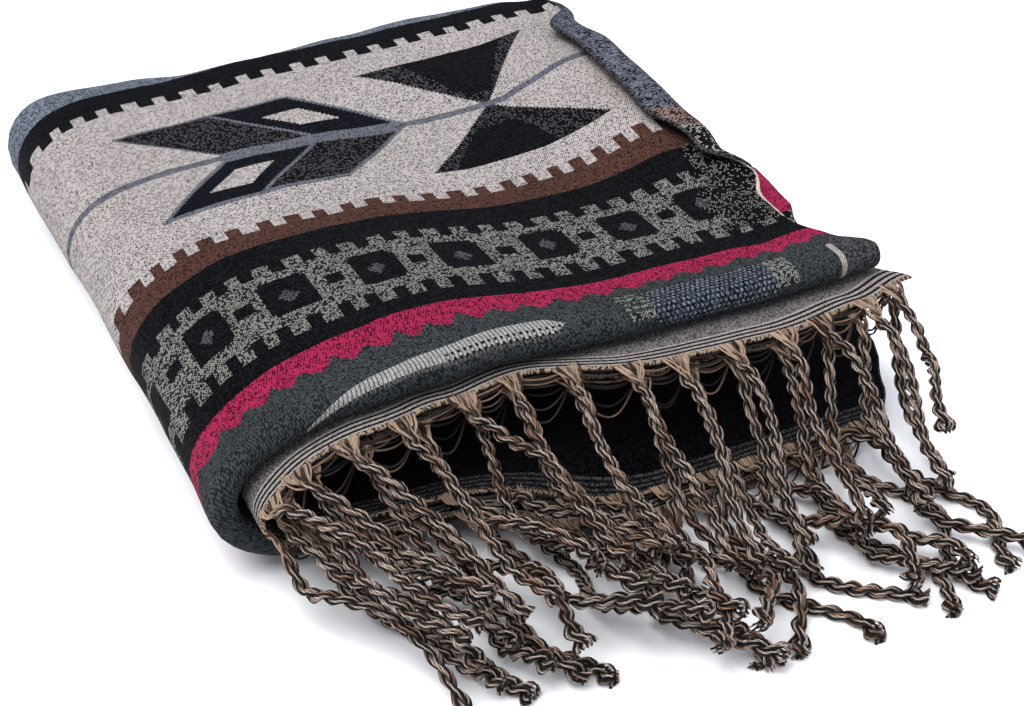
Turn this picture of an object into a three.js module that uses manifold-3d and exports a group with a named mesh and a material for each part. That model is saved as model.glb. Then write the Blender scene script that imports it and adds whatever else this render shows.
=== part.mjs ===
// A woven shawl with a twisted fringe on both ends, folded up and lying on a level surface.
//
// The cloth is one sheet. It was folded in half across its length, and in half again, so that
// four layers lie on each other with both fringed ends at the front and the middle of the cloth
// rolled over above them. That packet of four was then folded in half along its length: it lies
// on the surface, turns up and round at the left in one wide bend, and comes back on top. The
// selvedges are at the right.
//
// The row frame has +X from the bend to the selvedges, +Y from the fringes to the back folds
// and +Z up. Its origin is the middle of the bounding box, on the surface.

import * as THREE from "three";
import { mergeVertices } from "three/addons/utils/BufferGeometryUtils.js";
import Module from "manifold-3d";

const wasm = await Module();
wasm.setup();

// Driving dimensions, in millimetres.

const CLOTH_WIDTH = 662;
const CLOTH_THICKNESS = 2.4;
const STACK_HEIGHT = 86;
const HOLLOW_HALF_HEIGHT = 17;
const HOLLOW_ROUND_REACH = 60;
const PACKET_THICKNESS = STACK_HEIGHT / 2 - HOLLOW_HALF_HEIGHT;
const OUTER_RISE = PACKET_THICKNESS - CLOTH_THICKNESS / 2;
const BEND_START = HOLLOW_ROUND_REACH + PACKET_THICKNESS;

const SELVEDGE_CURL_LENGTH = 38;
const SELVEDGE_CURL_TURN = 3.5;
const SELVEDGE_CURL_FLATNESS = 0.55;

const PIECE_GAP = 0.3;
const FRINGE_STRIP_WIDTH = 7;
const TASSELS_PER_END = 28;
const TASSEL_LENGTH = 116;
const TASSEL_STATIONS = 13;
const CORD_SIZE = 5.4;
const ROOT_WIDTH = 12;
const ROOT_THICKNESS = 2;
const ROOT_REACH = 15;
const TUFT_WIDTH = 8;
const TUFT_LENGTH = 14;
const PILE_CELL = 1;
const PILE_CLEARANCE = 0.6;
const PILE_SLOPE = 0.45;

// The packet of four layers, from the inside of the lengthwise bend outwards.
// depth is the share of the way from the front of a layer to its back. The other columns are
// how far the middle of each layer lies from the inner face of the packet: end_b and end_a are
// the two fringed ends, under and outer the two halves that meet in the roll at the front.

const UPPER_RISES = [
  { depth: 0.0, end_b: 1.6, end_a: 8.2, under: 13.0, outer: OUTER_RISE },
  { depth: 0.1, end_b: 1.6, end_a: 7.6, under: 12.4, outer: 20.6 },
  { depth: 0.5, end_b: 1.6, end_a: 7.0, under: 12.4, outer: 19.4 },
  { depth: 1.0, end_b: 1.6, end_a: 7.4, under: 13.0, outer: 22.0 },
];
const LOWER_RISES = [
  { depth: 0.0, end_b: 1.6, end_a: 8.2, under: 14.6, outer: OUTER_RISE },
  { depth: 1.0, end_b: 1.6, end_a: 8.2, under: 14.6, outer: OUTER_RISE },
];

// How far right each layer's upper selvedge reaches, along the depth.
const SELVEDGES = [
  { depth: 0.0, end_b: 360, end_a: 366, under: 350, outer: 350 },
  { depth: 0.05, end_b: 350, end_a: 354, under: 340, outer: 336 },
  { depth: 0.13, end_b: 338, end_a: 338, under: 334, outer: 328 },
  { depth: 0.22, end_b: 328, end_a: 327, under: 341, outer: 331 },
  { depth: 0.33, end_b: 325, end_a: 325, under: 346, outer: 347 },
  { depth: 0.45, end_b: 324, end_a: 325, under: 328, outer: 351 },
  { depth: 0.78, end_b: 324, end_a: 325, under: 324, outer: 354 },
  { depth: 0.89, end_b: 326, end_a: 325, under: 325, outer: 343 },
  { depth: 1.0, end_b: 330, end_a: 326, under: 328, outer: 326 },
];

// The share of the outer layer's selvedge that is curled over, along the depth.
const SELVEDGE_CURLS = [
  { depth: 0.0, curl: 0 },
  { depth: 0.13, curl: 0 },
  { depth: 0.33, curl: 0.9 },
  { depth: 0.5, curl: 1 },
  { depth: 0.82, curl: 1 },
  { depth: 1.0, curl: 0.45 },
];

// Where the front edges and the back folds lie in y. across runs over the cloth's width, from
// the lower selvedge at 0 round the bend at 0.5 to the upper selvedge at 1.
const OUTLINE = [
  { across: 0.0, roll: 10, end_a: -31, end_b: -25, back: 335 },
  { across: 0.2, roll: 4, end_a: -37, end_b: -30, back: 338 },
  { across: 0.36, roll: 0, end_a: -13, end_b: -8, back: 342 },
  { across: 0.5, roll: 0, end_a: -14, end_b: -8, back: 344 },
  { across: 0.6, roll: 5, end_a: -4, end_b: -1, back: 335 },
  { across: 0.65, roll: 8, end_a: 2, end_b: 5, back: 329 },
  { across: 0.7, roll: 12, end_a: 8, end_b: 11, back: 331 },
  { across: 0.79, roll: 9, end_a: -8, end_b: -5, back: 335 },
  { across: 0.87, roll: 10, end_a: -9, end_b: -6, back: 339 },
  { across: 0.94, roll: 13, end_a: -2, end_b: 1, back: 338 },
  { across: 1.0, roll: 16, end_a: 8, end_b: 12, back: 334 },
];
const INNER_FOLD_INSET = 9;

// In front of the roll the lower leg's hems droop towards the floor: how far each one drops,
// over which reach, and between which places over the width the droop fades out.
const HEM_DROOPS = { end_b: 11, end_a: 10.5 };
const HEM_DROOP_REACH = 30;
const HEM_DROOP_FULL = 0.24;
const HEM_DROOP_END = 0.34;

// How the tassels lie, over the cloth's width: lean is how far they run to the right for each
// step to the front, drop how steeply they fall to the floor and sway how far they wander.
const TASSEL_WAYS = [
  { across: 0.0, lean: 0.15, drop: 0.9, sway: 15 },
  { across: 0.1, lean: 0.5, drop: 0.9, sway: 17 },
  { across: 0.18, lean: 0.0, drop: 0.9, sway: 18 },
  { across: 0.32, lean: 0.3, drop: 0.9, sway: 14 },
  { across: 0.5, lean: 0.62, drop: 1.0, sway: 5 },
  { across: 0.62, lean: 0.3, drop: 1.25, sway: 4 },
  { across: 0.75, lean: 0.0, drop: 1.25, sway: 4 },
  { across: 0.9, lean: -0.15, drop: 1.05, sway: 4 },
  { across: 1.0, lean: -0.3, drop: 0.7, sway: 5 },
];

// Soft rises and hollows of the upper layers.
const SWELLS = [
  { x: 212, y: 130, rise: -7, reach_x: 80, reach_y: 75 },
  { x: 70, y: 330, rise: -8, reach_x: 85, reach_y: 80 },
  { x: 280, y: 320, rise: 4, reach_x: 80, reach_y: 70 },
  { x: 105, y: 100, rise: 4, reach_x: 50, reach_y: 70 },
  { x: 315, y: 200, rise: 6, reach_x: 45, reach_y: 80 },
];

// Small helpers.

const mix = (a, b, share) => a + (b - a) * share;
const clamp01 = (value) => Math.min(1, Math.max(0, value));
const ease = (value) => {
  const share = clamp01(value);
  return share * share * (3 - 2 * share);
};

// A column of a table, eased between its rows.
function readTable(rows, key, column, value) {
  let last = rows[0];
  for (const row of rows) {
    if (value <= row[key]) {
      const span = row[key] - last[key];
      const share = span > 0 ? ease((value - last[key]) / span) : 1;
      return mix(last[column], row[column], share);
    }
    last = row;
  }
  return last[column];
}

// A fixed scatter from 0 to 1, so that each tassel differs and every run agrees.
function scatter(index, salt) {
  const wave = Math.sin(index * 12.9898 + salt * 78.233) * 43758.5453;
  return wave - Math.floor(wave);
}

// The lengthwise bend.

// Half the round of the hollow's end, by Ramanujan's formula for an ellipse.
function hollowRound() {
  const a = HOLLOW_ROUND_REACH;
  const b = HOLLOW_HALF_HEIGHT;
  return (Math.PI / 2) * (3 * (a + b) - Math.sqrt((3 * a + b) * (a + 3 * b)));
}

// How far the soft rises and hollows lift the upper cloth.
function swell(x, y) {
  let rise = 0;
  for (const row of SWELLS) {
    const dx = (x - row.x) / row.reach_x;
    const dy = (y - row.y) / row.reach_y;
    rise += row.rise * Math.exp(-dx * dx - dy * dy);
  }
  return rise;
}

// The width of each zone of the cloth for a layer at this rise, with the same cloth width in
// every layer: the outer layers spend more on the bend, so their lower legs are shorter.
function zoneWidths(rise, selvedge) {
  const bend = hollowRound() + Math.PI * rise;
  const upper = selvedge - SELVEDGE_CURL_LENGTH - BEND_START;
  const lower = CLOTH_WIDTH - bend - upper - SELVEDGE_CURL_LENGTH;
  return { lower, bend, upper };
}

// A point of the packet, bent round into the stack. station is a zone of the width and a share
// of that zone; spot holds y, the layer's middle rise, its selvedge and its curl; rise is how
// far the point itself lies from the packet's inner face.
function place(station, spot, rise) {
  const { zone, share } = station;
  const middle = STACK_HEIGHT / 2;
  const a = HOLLOW_ROUND_REACH;
  const b = HOLLOW_HALF_HEIGHT;
  const widths = zoneWidths(spot.rise, spot.selvedge);
  const lift = 0.3 + (0.7 * rise) / PACKET_THICKNESS;
  if (zone === "lower") {
    const x = BEND_START + widths.lower * (1 - share);
    return new THREE.Vector3(x, spot.y, middle - b - rise - spot.droop);
  }
  if (zone === "bend") {
    const turn = Math.PI * share;
    const side = Math.sin(turn);
    const up = -Math.cos(turn);
    const length = Math.hypot(b * side, a * up);
    const x = BEND_START - a * side - (rise * b * side) / length;
    const z = middle + b * up + (rise * a * up) / length;
    const raised = ease(share * 2 - 1) * lift * swell(x, spot.y);
    return new THREE.Vector3(x, spot.y, z + raised);
  }
  const curlStart = spot.selvedge - SELVEDGE_CURL_LENGTH;
  if (zone === "upper") {
    const x = BEND_START + widths.upper * share;
    return new THREE.Vector3(x, spot.y, middle + b + rise + lift * swell(x, spot.y));
  }
  const flatLength = SELVEDGE_CURL_LENGTH * (1 - spot.curl);
  const reached = SELVEDGE_CURL_LENGTH * share;
  const radius = SELVEDGE_CURL_LENGTH / SELVEDGE_CURL_TURN;
  const wide = radius * (1 + SELVEDGE_CURL_FLATNESS);
  const high = radius * (1 - SELVEDGE_CURL_FLATNESS);
  const turn = Math.max(0, reached - flatLength) / radius;
  const along = new THREE.Vector2(wide * Math.cos(turn), high * Math.sin(turn)).normalize();
  const off = rise - spot.rise;
  const straight = curlStart + Math.min(reached, flatLength);
  const x = straight + wide * Math.sin(turn) - off * along.y;
  const ground = middle + b + spot.rise + lift * swell(Math.min(x, spot.selvedge), spot.y);
  return new THREE.Vector3(x, spot.y, ground + high * (1 - Math.cos(turn)) + off * along.x);
}

// Where a station lies over the cloth's width, from 0 at the lower selvedge to 1 at the upper.
const ZONE_STARTS = { lower: 0, bend: 0.38, upper: 0.62, edge: 0.94 };
const ZONE_ENDS = { lower: 0.38, bend: 0.62, upper: 0.94, edge: 1 };
const ZONE_STEPS = { lower: 10, bend: 12, upper: 10, edge: 6 };
const acrossOf = ({ zone, share }) => mix(ZONE_STARTS[zone], ZONE_ENDS[zone], share);

// The station at a place over the cloth's width.
function stationAt(across) {
  for (const zone of ["lower", "bend", "upper", "edge"]) {
    if (across <= ZONE_ENDS[zone]) {
      const span = ZONE_ENDS[zone] - ZONE_STARTS[zone];
      return { zone, share: (across - ZONE_STARTS[zone]) / span };
    }
  }
  return { zone: "edge", share: 1 };
}

// The stations of every loft over the cloth's width, so that edges that meet follow one line.
function loftStations() {
  const stations = [{ zone: "lower", share: 0 }];
  for (const [zone, count] of Object.entries(ZONE_STEPS)) {
    for (let i = 1; i <= count; i += 1) stations.push({ zone, share: i / count });
  }
  return stations;
}

// The section of the packet runs from the fringed end b at the inside to end a.

// How far a hem of the lower leg droops at a place in front of the roll.
function hemDroop(column, y, across) {
  const start = readTable(OUTLINE, "across", "roll", across) - 1;
  const fade = ease((HEM_DROOP_END - across) / (HEM_DROOP_END - HEM_DROOP_FULL));
  return (HEM_DROOPS[column] ?? 0) * ease((start - y) / HEM_DROOP_REACH) * fade;
}

function layerSpot(column, depth, y, across) {
  const upper = ease((across - ZONE_STARTS.bend) / (ZONE_ENDS.bend - ZONE_STARTS.bend));
  const rise = mix(
    readTable(LOWER_RISES, "depth", column, depth),
    readTable(UPPER_RISES, "depth", column, depth),
    upper,
  );
  const curl = column === "outer" ? readTable(SELVEDGE_CURLS, "depth", "curl", depth) : 0;
  const selvedge = readTable(SELVEDGES, "depth", column, depth);
  return { y, rise, selvedge, curl, droop: hemDroop(column, y, across) };
}

// The straight run of a layer, from one depth share to another.
function run(column, frontY, backY, across, steps, backwards) {
  const spots = [];
  for (let i = 0; i <= steps; i += 1) {
    const share = backwards ? 1 - i / steps : i / steps;
    spots.push(layerSpot(column, share, mix(frontY, backY, share), across));
  }
  return spots;
}

// The half round between two layers: towards is +1 for a fold at the back, -1 at the front.
function fold(from, to, towards, steps) {
  const radius = Math.abs(to.rise - from.rise) / 2;
  const centre = (to.rise + from.rise) / 2;
  const sense = Math.sign(to.rise - from.rise);
  const spots = [];
  for (let i = 1; i < steps; i += 1) {
    const angle = Math.PI * (i / steps);
    spots.push({
      y: from.y + towards * radius * Math.sin(angle),
      rise: centre - sense * radius * Math.cos(angle),
      selvedge: mix(from.selvedge, to.selvedge, i / steps),
      curl: mix(from.curl, to.curl, i / steps),
      droop: 0,
    });
  }
  return spots;
}

const RUN_STEPS = 9;
const OUTER_FOLD_STEPS = 8;
const ROLL_STEPS = 6;
const INNER_FOLD_STEPS = 4;

function packetSection(across) {
  const at = (column) => readTable(OUTLINE, "across", column, across);
  const outerFront = layerSpot("outer", 0, 0, across).rise;
  const underFront = layerSpot("under", 0, 0, across).rise;
  const rollCentre = at("roll") + (outerFront - underFront) / 2;
  const outerBack = layerSpot("outer", 1, 0, across).rise;
  const innerBack = layerSpot("end_b", 1, 0, across).rise;
  const outerCentre = at("back") - (outerBack - innerBack) / 2;
  const innerRadius =
    (layerSpot("under", 1, 0, across).rise - layerSpot("end_a", 1, 0, across).rise) / 2;
  const innerCentre = at("back") - INNER_FOLD_INSET - innerRadius;
  const endB = run("end_b", at("end_b"), outerCentre, across, RUN_STEPS, false);
  const outer = run("outer", rollCentre, outerCentre, across, RUN_STEPS, true);
  const under = run("under", rollCentre, innerCentre, across, RUN_STEPS, false);
  const endA = run("end_a", at("end_a"), innerCentre, across, RUN_STEPS, true);
  return [
    ...endB,
    ...fold(endB.at(-1), outer[0], 1, OUTER_FOLD_STEPS),
    ...outer,
    ...fold(outer.at(-1), under[0], -1, ROLL_STEPS),
    ...under,
    ...fold(under.at(-1), endA[0], 1, INNER_FOLD_STEPS),
    ...endA,
  ];
}

// Meshes.

// The two faces of the cloth beside one spot of the section, across the section's own line.
function facePair(spots, index, station) {
  const before = spots[Math.max(index - 1, 0)];
  const after = spots[Math.min(index + 1, spots.length - 1)];
  const length = Math.hypot(after.y - before.y, after.rise - before.rise);
  const acrossY = -(after.rise - before.rise) / length;
  const acrossRise = (after.y - before.y) / length;
  return [1, -1].map((side) => {
    const off = (side * CLOTH_THICKNESS) / 2;
    const spot = { ...spots[index], y: spots[index].y + off * acrossY };
    return place(station, spot, spots[index].rise + off * acrossRise);
  });
}

// Closed geometry from corner loops of equal length, with a fan of quads over each end. Corner
// i of a loop faces corner n - 1 - i, as in the section of a ribbon.
function loftLoops(loops) {
  const n = loops[0].length;
  const positions = loops.flat().flatMap((corner) => corner.toArray());
  const triangles = [];
  const quad = (a, b, c, d) => triangles.push(a, b, c, a, c, d);
  for (let k = 0; k + 1 < loops.length; k += 1) {
    for (let i = 0; i < n; i += 1) {
      const j = (i + 1) % n;
      quad(k * n + i, k * n + j, (k + 1) * n + j, (k + 1) * n + i);
    }
  }
  const last = (loops.length - 1) * n;
  for (let i = 0; i + 1 < n / 2; i += 1) {
    quad(n - 1 - i, n - 2 - i, i + 1, i);
    quad(last + i, last + i + 1, last + n - 2 - i, last + n - 1 - i);
  }
  const geometry = new THREE.BufferGeometry();
  geometry.setAttribute("position", new THREE.Float32BufferAttribute(positions, 3));
  geometry.setIndex(triangles);
  return geometry;
}

// A ribbon section lofted over the cloth's width.
function loftRibbon(sectionAt) {
  const loops = loftStations().map((station) => {
    const spots = sectionAt(acrossOf(station));
    const pairs = spots.map((_, index) => facePair(spots, index, station));
    return [...pairs.map((pair) => pair[0]), ...pairs.map((pair) => pair[1]).reverse()];
  });
  return loftLoops(loops);
}

function clothGeometry() {
  return loftRibbon(packetSection);
}

// The strip of cloth that a fringe hangs from, just outside the cloth's own edge.
function stripGeometry(column) {
  const sectionAt = (across) => {
    const edge = readTable(OUTLINE, "across", column, across);
    return [edge - FRINGE_STRIP_WIDTH, edge - PIECE_GAP].map((y) => ({
      ...layerSpot(column, 0, y, across),
    }));
  };
  return loftRibbon(sectionAt);
}

// The tassels.

// How high the tassels laid so far reach, on a grid over the floor in front of the stack.
class Pile {
  constructor() {
    this.heights = new Map();
  }

  // Calls visit with the key of each cell within reach of a point.
  around(x, y, reach, visit) {
    const steps = Math.ceil(reach / PILE_CELL);
    const column = Math.round(x / PILE_CELL);
    const row = Math.round(y / PILE_CELL);
    for (let i = -steps; i <= steps; i += 1) {
      for (let j = -steps; j <= steps; j += 1) {
        if (Math.hypot(i, j) * PILE_CELL <= reach) visit(`${column + i},${row + j}`);
      }
    }
  }

  heightAt(x, y, reach) {
    let top = 0;
    this.around(x, y, reach, (key) => {
      top = Math.max(top, this.heights.get(key) ?? 0);
    });
    return top;
  }

  raise(x, y, reach, top) {
    this.around(x, y, reach, (key) => {
      this.heights.set(key, Math.max(this.heights.get(key) ?? 0, top));
    });
  }
}

// The pile that the tassels are laid on: the lower leg's front, and nothing else yet.
function startPile() {
  const pile = new Pile();
  for (let across = 0; across < ZONE_ENDS.lower; across += 0.005) {
    const edge = readTable(OUTLINE, "across", "end_b", across);
    for (let inward = 0; inward < 70; inward += PILE_CELL) {
      const spot = layerSpot("end_b", 0, edge + inward, across);
      const at = place(stationAt(across), spot, spot.rise);
      pile.raise(at.x, at.y, 3, at.z + CLOTH_THICKNESS);
    }
  }
  return pile;
}

// Where each tassel leaves the hem, lowest first, so that each is laid on the ones below it.
function tasselRoots() {
  const roots = [];
  for (const column of ["end_a", "end_b"]) {
    for (let i = 0; i < TASSELS_PER_END; i += 1) {
      const stagger = column === "end_a" ? 0.35 : 0.6;
      const index = roots.length;
      const across = (i + stagger + 0.2 * (scatter(index, 1) - 0.5)) / TASSELS_PER_END;
      const station = stationAt(clamp01(across));
      const y = readTable(OUTLINE, "across", column, across) - 0.65 * FRINGE_STRIP_WIDTH;
      const spot = layerSpot(column, 0, y, across);
      const at = place(station, spot, spot.rise);
      const next = place(stationAt(clamp01(across + 0.01)), spot, spot.rise);
      const side = next.sub(at).setY(0).normalize();
      if (side.x < 0) side.negate();
      roots.push({ column, index, across, at, side });
    }
  }
  return roots.sort((one, other) => one.at.z - other.at.z);
}

// The way a tassel takes seen from above: it leaves the hem squarely, leans and wanders.
function planPoint(root, out) {
  const way = (column) => readTable(TASSEL_WAYS, "across", column, root.across);
  const lean = way("lean") + 0.3 * (scatter(root.index, 2) - 0.5);
  const leaning = lean * (out - 5 * (1 - Math.exp(-out / 5)));
  const turn = scatter(root.index, 3) - 0.5;
  const wave = way("sway") * (turn + 0.5 * Math.sign(turn));
  const phase = 6 * scatter(root.index, 4);
  const loose = 1 - Math.exp(-out / 22);
  const swaying = wave * loose * (Math.sin(out / 13 + phase) - Math.sin(phase));
  return { x: root.at.x + leaning + swaying, y: root.at.y - out };
}

// The height of a tassel that falls freely from the hem to the floor.
function fallHeight(root, out) {
  const drop = root.at.z - CORD_SIZE / 2;
  const steepness = readTable(TASSEL_WAYS, "across", "drop", root.across);
  const reach = 10 + steepness * drop + 8 * (scatter(root.index, 5) - 0.5);
  const left = 1 - clamp01((out - 3) / reach);
  return CORD_SIZE / 2 + drop * left ** 1.3;
}

// Width and thickness of a tassel at a share of its length: a flat gathered root, a round cord
// and a loose tuft at its end.
function tasselSize(share) {
  const out = share * TASSEL_LENGTH;
  const gathered = ease(out / ROOT_REACH);
  const tuft = ease((out - (TASSEL_LENGTH - TUFT_LENGTH)) / TUFT_LENGTH);
  return {
    width: mix(mix(ROOT_WIDTH, CORD_SIZE, gathered), TUFT_WIDTH, tuft),
    thickness: mix(ROOT_THICKNESS, CORD_SIZE, gathered),
  };
}

// The frame and the half size of a tassel at a share of its length: how far it reaches to the
// side and up from its middle line.
function tasselFrame(root, along, share) {
  const turned = ease((share * TASSEL_LENGTH - FRINGE_STRIP_WIDTH) / ROOT_REACH);
  const side = root.side.clone().lerp(new THREE.Vector3(1, 0, 0), turned);
  side.addScaledVector(along, -side.dot(along)).normalize();
  const up = side.clone().cross(along).negate();
  const { width, thickness } = tasselSize(share);
  return {
    side: side.clone().multiplyScalar(width / 2),
    up: up.clone().multiplyScalar(thickness / 2),
    reach: (Math.hypot(side.x, side.y) * width + Math.hypot(up.x, up.y) * thickness) / 2,
    rise: (Math.abs(side.z) * width + Math.abs(up.z) * thickness) / 2,
  };
}

// The direction of a line of points at one of them.
function directionAt(line, k) {
  const before = line[Math.max(k - 1, 0)];
  const after = line[Math.min(k + 1, line.length - 1)];
  return after.clone().sub(before).normalize();
}

// The points of a tassel's middle line, laid on the pile, and then the pile raised by it.
function layTassel(root, pile) {
  const step = 1.5;
  const fine = [];
  let length = 0;
  for (let out = 0; length < TASSEL_LENGTH; out += step) {
    const { x, y } = planPoint(root, out);
    const z = fallHeight(root, out);
    const point = new THREE.Vector3(x, y, z);
    if (fine.length > 0) length += point.distanceTo(fine.at(-1).point);
    fine.push({ point, need: 0 });
  }
  const path = fine.map((entry) => entry.point);
  fine.forEach((entry, i) => {
    const frame = tasselFrame(root, directionAt(path, i), i / (fine.length - 1));
    const under = pile.heightAt(entry.point.x, entry.point.y, frame.reach + PILE_CLEARANCE);
    const loose = i * step > FRINGE_STRIP_WIDTH / 2;
    entry.need = loose ? under + frame.rise + (under > 0 ? PILE_CLEARANCE : 0) : 0;
  });
  const settled = fine.map(({ point }, i) =>
    fine.reduce((z, other, j) => {
      return Math.max(z, other.need - Math.abs(i - j) * step * PILE_SLOPE);
    }, point.z),
  );
  const stride = (fine.length - 1) / (TASSEL_STATIONS - 1);
  const line = [];
  for (let k = 0; k < TASSEL_STATIONS; k += 1) {
    const middle = Math.round(k * stride);
    const from = Math.max(0, Math.ceil((k - 1) * stride));
    const to = Math.min(fine.length - 1, Math.floor((k + 1) * stride));
    let z = settled[middle];
    for (let i = from; i <= to; i += 1) {
      if (settled[i] > fine[i].point.z + 0.05) z = Math.max(z, settled[i]);
    }
    const { x, y } = fine[middle].point;
    line.push(new THREE.Vector3(x, y, k === 0 ? root.at.z : z));
  }
  for (let k = line.length - 1; k > 0; k -= 1) {
    const frame = tasselFrame(root, directionAt(line, k), k / (line.length - 1));
    line[k].z = Math.max(line[k].z, frame.rise);
  }
  for (let k = 0; k + 1 < line.length; k += 1) {
    const along = line[k + 1].clone().sub(line[k]).normalize();
    for (let share = 0; share < 1; share += 0.125) {
      const point = line[k].clone().lerp(line[k + 1], share);
      const frame = tasselFrame(root, along, (k + share) / (line.length - 1));
      pile.raise(point.x, point.y, frame.reach + PILE_CLEARANCE, point.z + frame.rise);
    }
  }
  return line;
}

// A strand of four sides along a tassel's middle line.
function tasselGeometry(root, line) {
  const loops = line.map((point, k) => {
    const { side, up } = tasselFrame(root, directionAt(line, k), k / (line.length - 1));
    return [
      point.clone().add(side).add(up),
      point.clone().sub(side).add(up),
      point.clone().sub(side).sub(up),
      point.clone().add(side).sub(up),
    ];
  });
  return loftLoops(loops);
}

// Solids.

function solidOf(geometry) {
  const merged = mergeVertices(geometry, 1e-4);
  const solid = new wasm.Manifold(
    new wasm.Mesh({
      numProp: 3,
      vertProperties: merged.attributes.position.array,
      triVerts: new Uint32Array(merged.index.array),
    }),
  );
  if (solid.volume() > 0) return solid;
  const turned = new Uint32Array(merged.index.array).reverse();
  return new wasm.Manifold(
    new wasm.Mesh({
      numProp: 3,
      vertProperties: merged.attributes.position.array,
      triVerts: turned,
    }),
  );
}

function geometryOf(solid) {
  const { vertProperties, triVerts } = solid.getMesh();
  const geometry = new THREE.BufferGeometry();
  geometry.setAttribute("position", new THREE.BufferAttribute(vertProperties, 3));
  geometry.setIndex(new THREE.BufferAttribute(triVerts, 1));
  return geometry;
}

function addPiece(group, name, solid, material) {
  const mesh = new THREE.Mesh(geometryOf(solid), material);
  mesh.name = name;
  group.add(mesh);
}

const wovenCloth = new THREE.MeshStandardMaterial({
  color: new THREE.Color(0.42, 0.38, 0.36),
  roughness: 0.95,
  metalness: 0,
});
const fringeYarn = new THREE.MeshStandardMaterial({
  color: new THREE.Color(0.3, 0.24, 0.2),
  roughness: 0.95,
  metalness: 0,
});

const shawl = new THREE.Group();
addPiece(shawl, "shawl_cloth", solidOf(clothGeometry()), wovenCloth);

const pile = startPile();
const fringes = { end_a: solidOf(stripGeometry("end_a")), end_b: solidOf(stripGeometry("end_b")) };
for (const root of tasselRoots()) {
  const strand = solidOf(tasselGeometry(root, layTassel(root, pile)));
  fringes[root.column] = fringes[root.column].add(strand);
}
addPiece(shawl, "fringe_end_a", fringes.end_a, fringeYarn);
addPiece(shawl, "fringe_end_b", fringes.end_b, fringeYarn);

// The origin is the middle of the bounding box, on the surface that the shawl lies on.
const box = new THREE.Box3().setFromObject(shawl);
const centre = box.getCenter(new THREE.Vector3());
shawl.position.set(-centre.x, -centre.y, -box.min.z);

export default shawl;
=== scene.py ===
"""A woven shawl, folded twice across and once along, with a twisted fringe at its front.

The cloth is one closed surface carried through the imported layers, the tassels are bundles of
twisted yarns laid over each other, and a pale floor and soft lights stand round them.
"""

import logging
import math
from collections.abc import Callable
from dataclasses import dataclass, field, replace
from enum import Enum

import bpy
import numpy as np
from mathutils import Matrix, Vector


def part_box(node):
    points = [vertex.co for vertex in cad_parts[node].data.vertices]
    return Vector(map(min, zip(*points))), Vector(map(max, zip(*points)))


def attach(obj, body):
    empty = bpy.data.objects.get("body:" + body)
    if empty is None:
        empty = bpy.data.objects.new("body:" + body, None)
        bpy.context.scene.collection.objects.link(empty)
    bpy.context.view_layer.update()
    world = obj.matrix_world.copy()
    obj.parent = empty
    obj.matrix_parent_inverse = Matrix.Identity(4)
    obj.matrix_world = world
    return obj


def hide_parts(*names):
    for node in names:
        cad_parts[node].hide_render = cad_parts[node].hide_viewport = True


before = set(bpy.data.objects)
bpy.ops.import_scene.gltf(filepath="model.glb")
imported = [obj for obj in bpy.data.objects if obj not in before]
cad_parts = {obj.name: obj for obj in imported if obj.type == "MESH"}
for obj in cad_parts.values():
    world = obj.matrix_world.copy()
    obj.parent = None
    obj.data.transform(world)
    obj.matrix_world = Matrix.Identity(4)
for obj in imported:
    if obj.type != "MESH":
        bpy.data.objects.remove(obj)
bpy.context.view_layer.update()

LOG = logging.getLogger("shawl")
MM = 0.001
UP = np.array([0.0, 0.0, 1.0])
RIGHT = np.array([1.0, 0.0, 0.0])
# A direction that no yarn runs in, to measure sideways from.
NEAR_UP = np.array([0.05, 0.1, 1.0])
# A step over the width that shows which way the cloth runs there.
NEARBY = 0.01
# About one turn, in radians.
NEAR_TURN = 6.28
# Height of the middle of a yarn on the floor, as a share of its radius.
ON_FLOOR = 0.95
# Width of one side of a yarn in its pattern.
SIDE_WIDTH = 2e-3
# The mix node's inputs for the mask and the two colours.
MIX_INPUTS = (0, 6, 7)
# Further than any yarn is from its tassel's middle, so that the slack loops get no painted groove
# shade.
FAR_OFF = 1.0
NO_CAPS = np.zeros((0, 3), np.int32)
COLOUR = tuple[float, float, float]


def mm(*values: float) -> tuple[float, ...]:
    """Lengths in millimetres, as metres."""
    return tuple(value * MM for value in values)


def ease(share: np.ndarray) -> np.ndarray:
    """Zero to one with a soft start and end: three squares less two cubes of the share."""
    share = np.clip(share, 0.0, 1.0)
    return share * share * (3.0 - 2.0 * share)


def blend(start: np.ndarray, end: np.ndarray, share: np.ndarray) -> np.ndarray:
    """The straight mix of two values by a share."""
    return start + (end - start) * share


def unit(vectors: np.ndarray) -> np.ndarray:
    """Vectors along the last axis, each at length one."""
    return vectors / np.maximum(np.linalg.norm(vectors, axis=-1, keepdims=True), 1e-12)


def scatter(index: np.ndarray | float, salt: float) -> np.ndarray:
    """A fixed scatter from 0 to 1: the fraction of a large multiple of a sine."""
    wave = np.sin(np.asarray(index) * 12.9898 + salt * 78.233) * 43758.5453
    return wave - np.floor(wave)


def soft_noise(across: np.ndarray, along: np.ndarray, pitch: float, salt: float) -> np.ndarray:
    """Smooth noise from -1 to 1: scattered lattice values, eased between the lattice points.

    Args:
        across: First coordinate of each point.
        along: Second coordinate of each point.
        pitch: Distance between lattice points.
        salt: Chooses one noise out of many.

    Returns:
        One value for each point.
    """
    column, row = across / pitch, along / pitch
    left, low = np.floor(column), np.floor(row)
    share_x, share_y = ease(column - left), ease(row - low)

    def corner(i: int, j: int) -> np.ndarray:
        """The value of the lattice point at one corner of each point's square."""
        return scatter((left + i) * 57.0 + (low + j) * 113.0, salt)

    lower = blend(corner(0, 0), corner(1, 0), share_x)
    upper = blend(corner(0, 1), corner(1, 1), share_x)
    return 2.0 * blend(lower, upper, share_y) - 1.0


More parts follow.
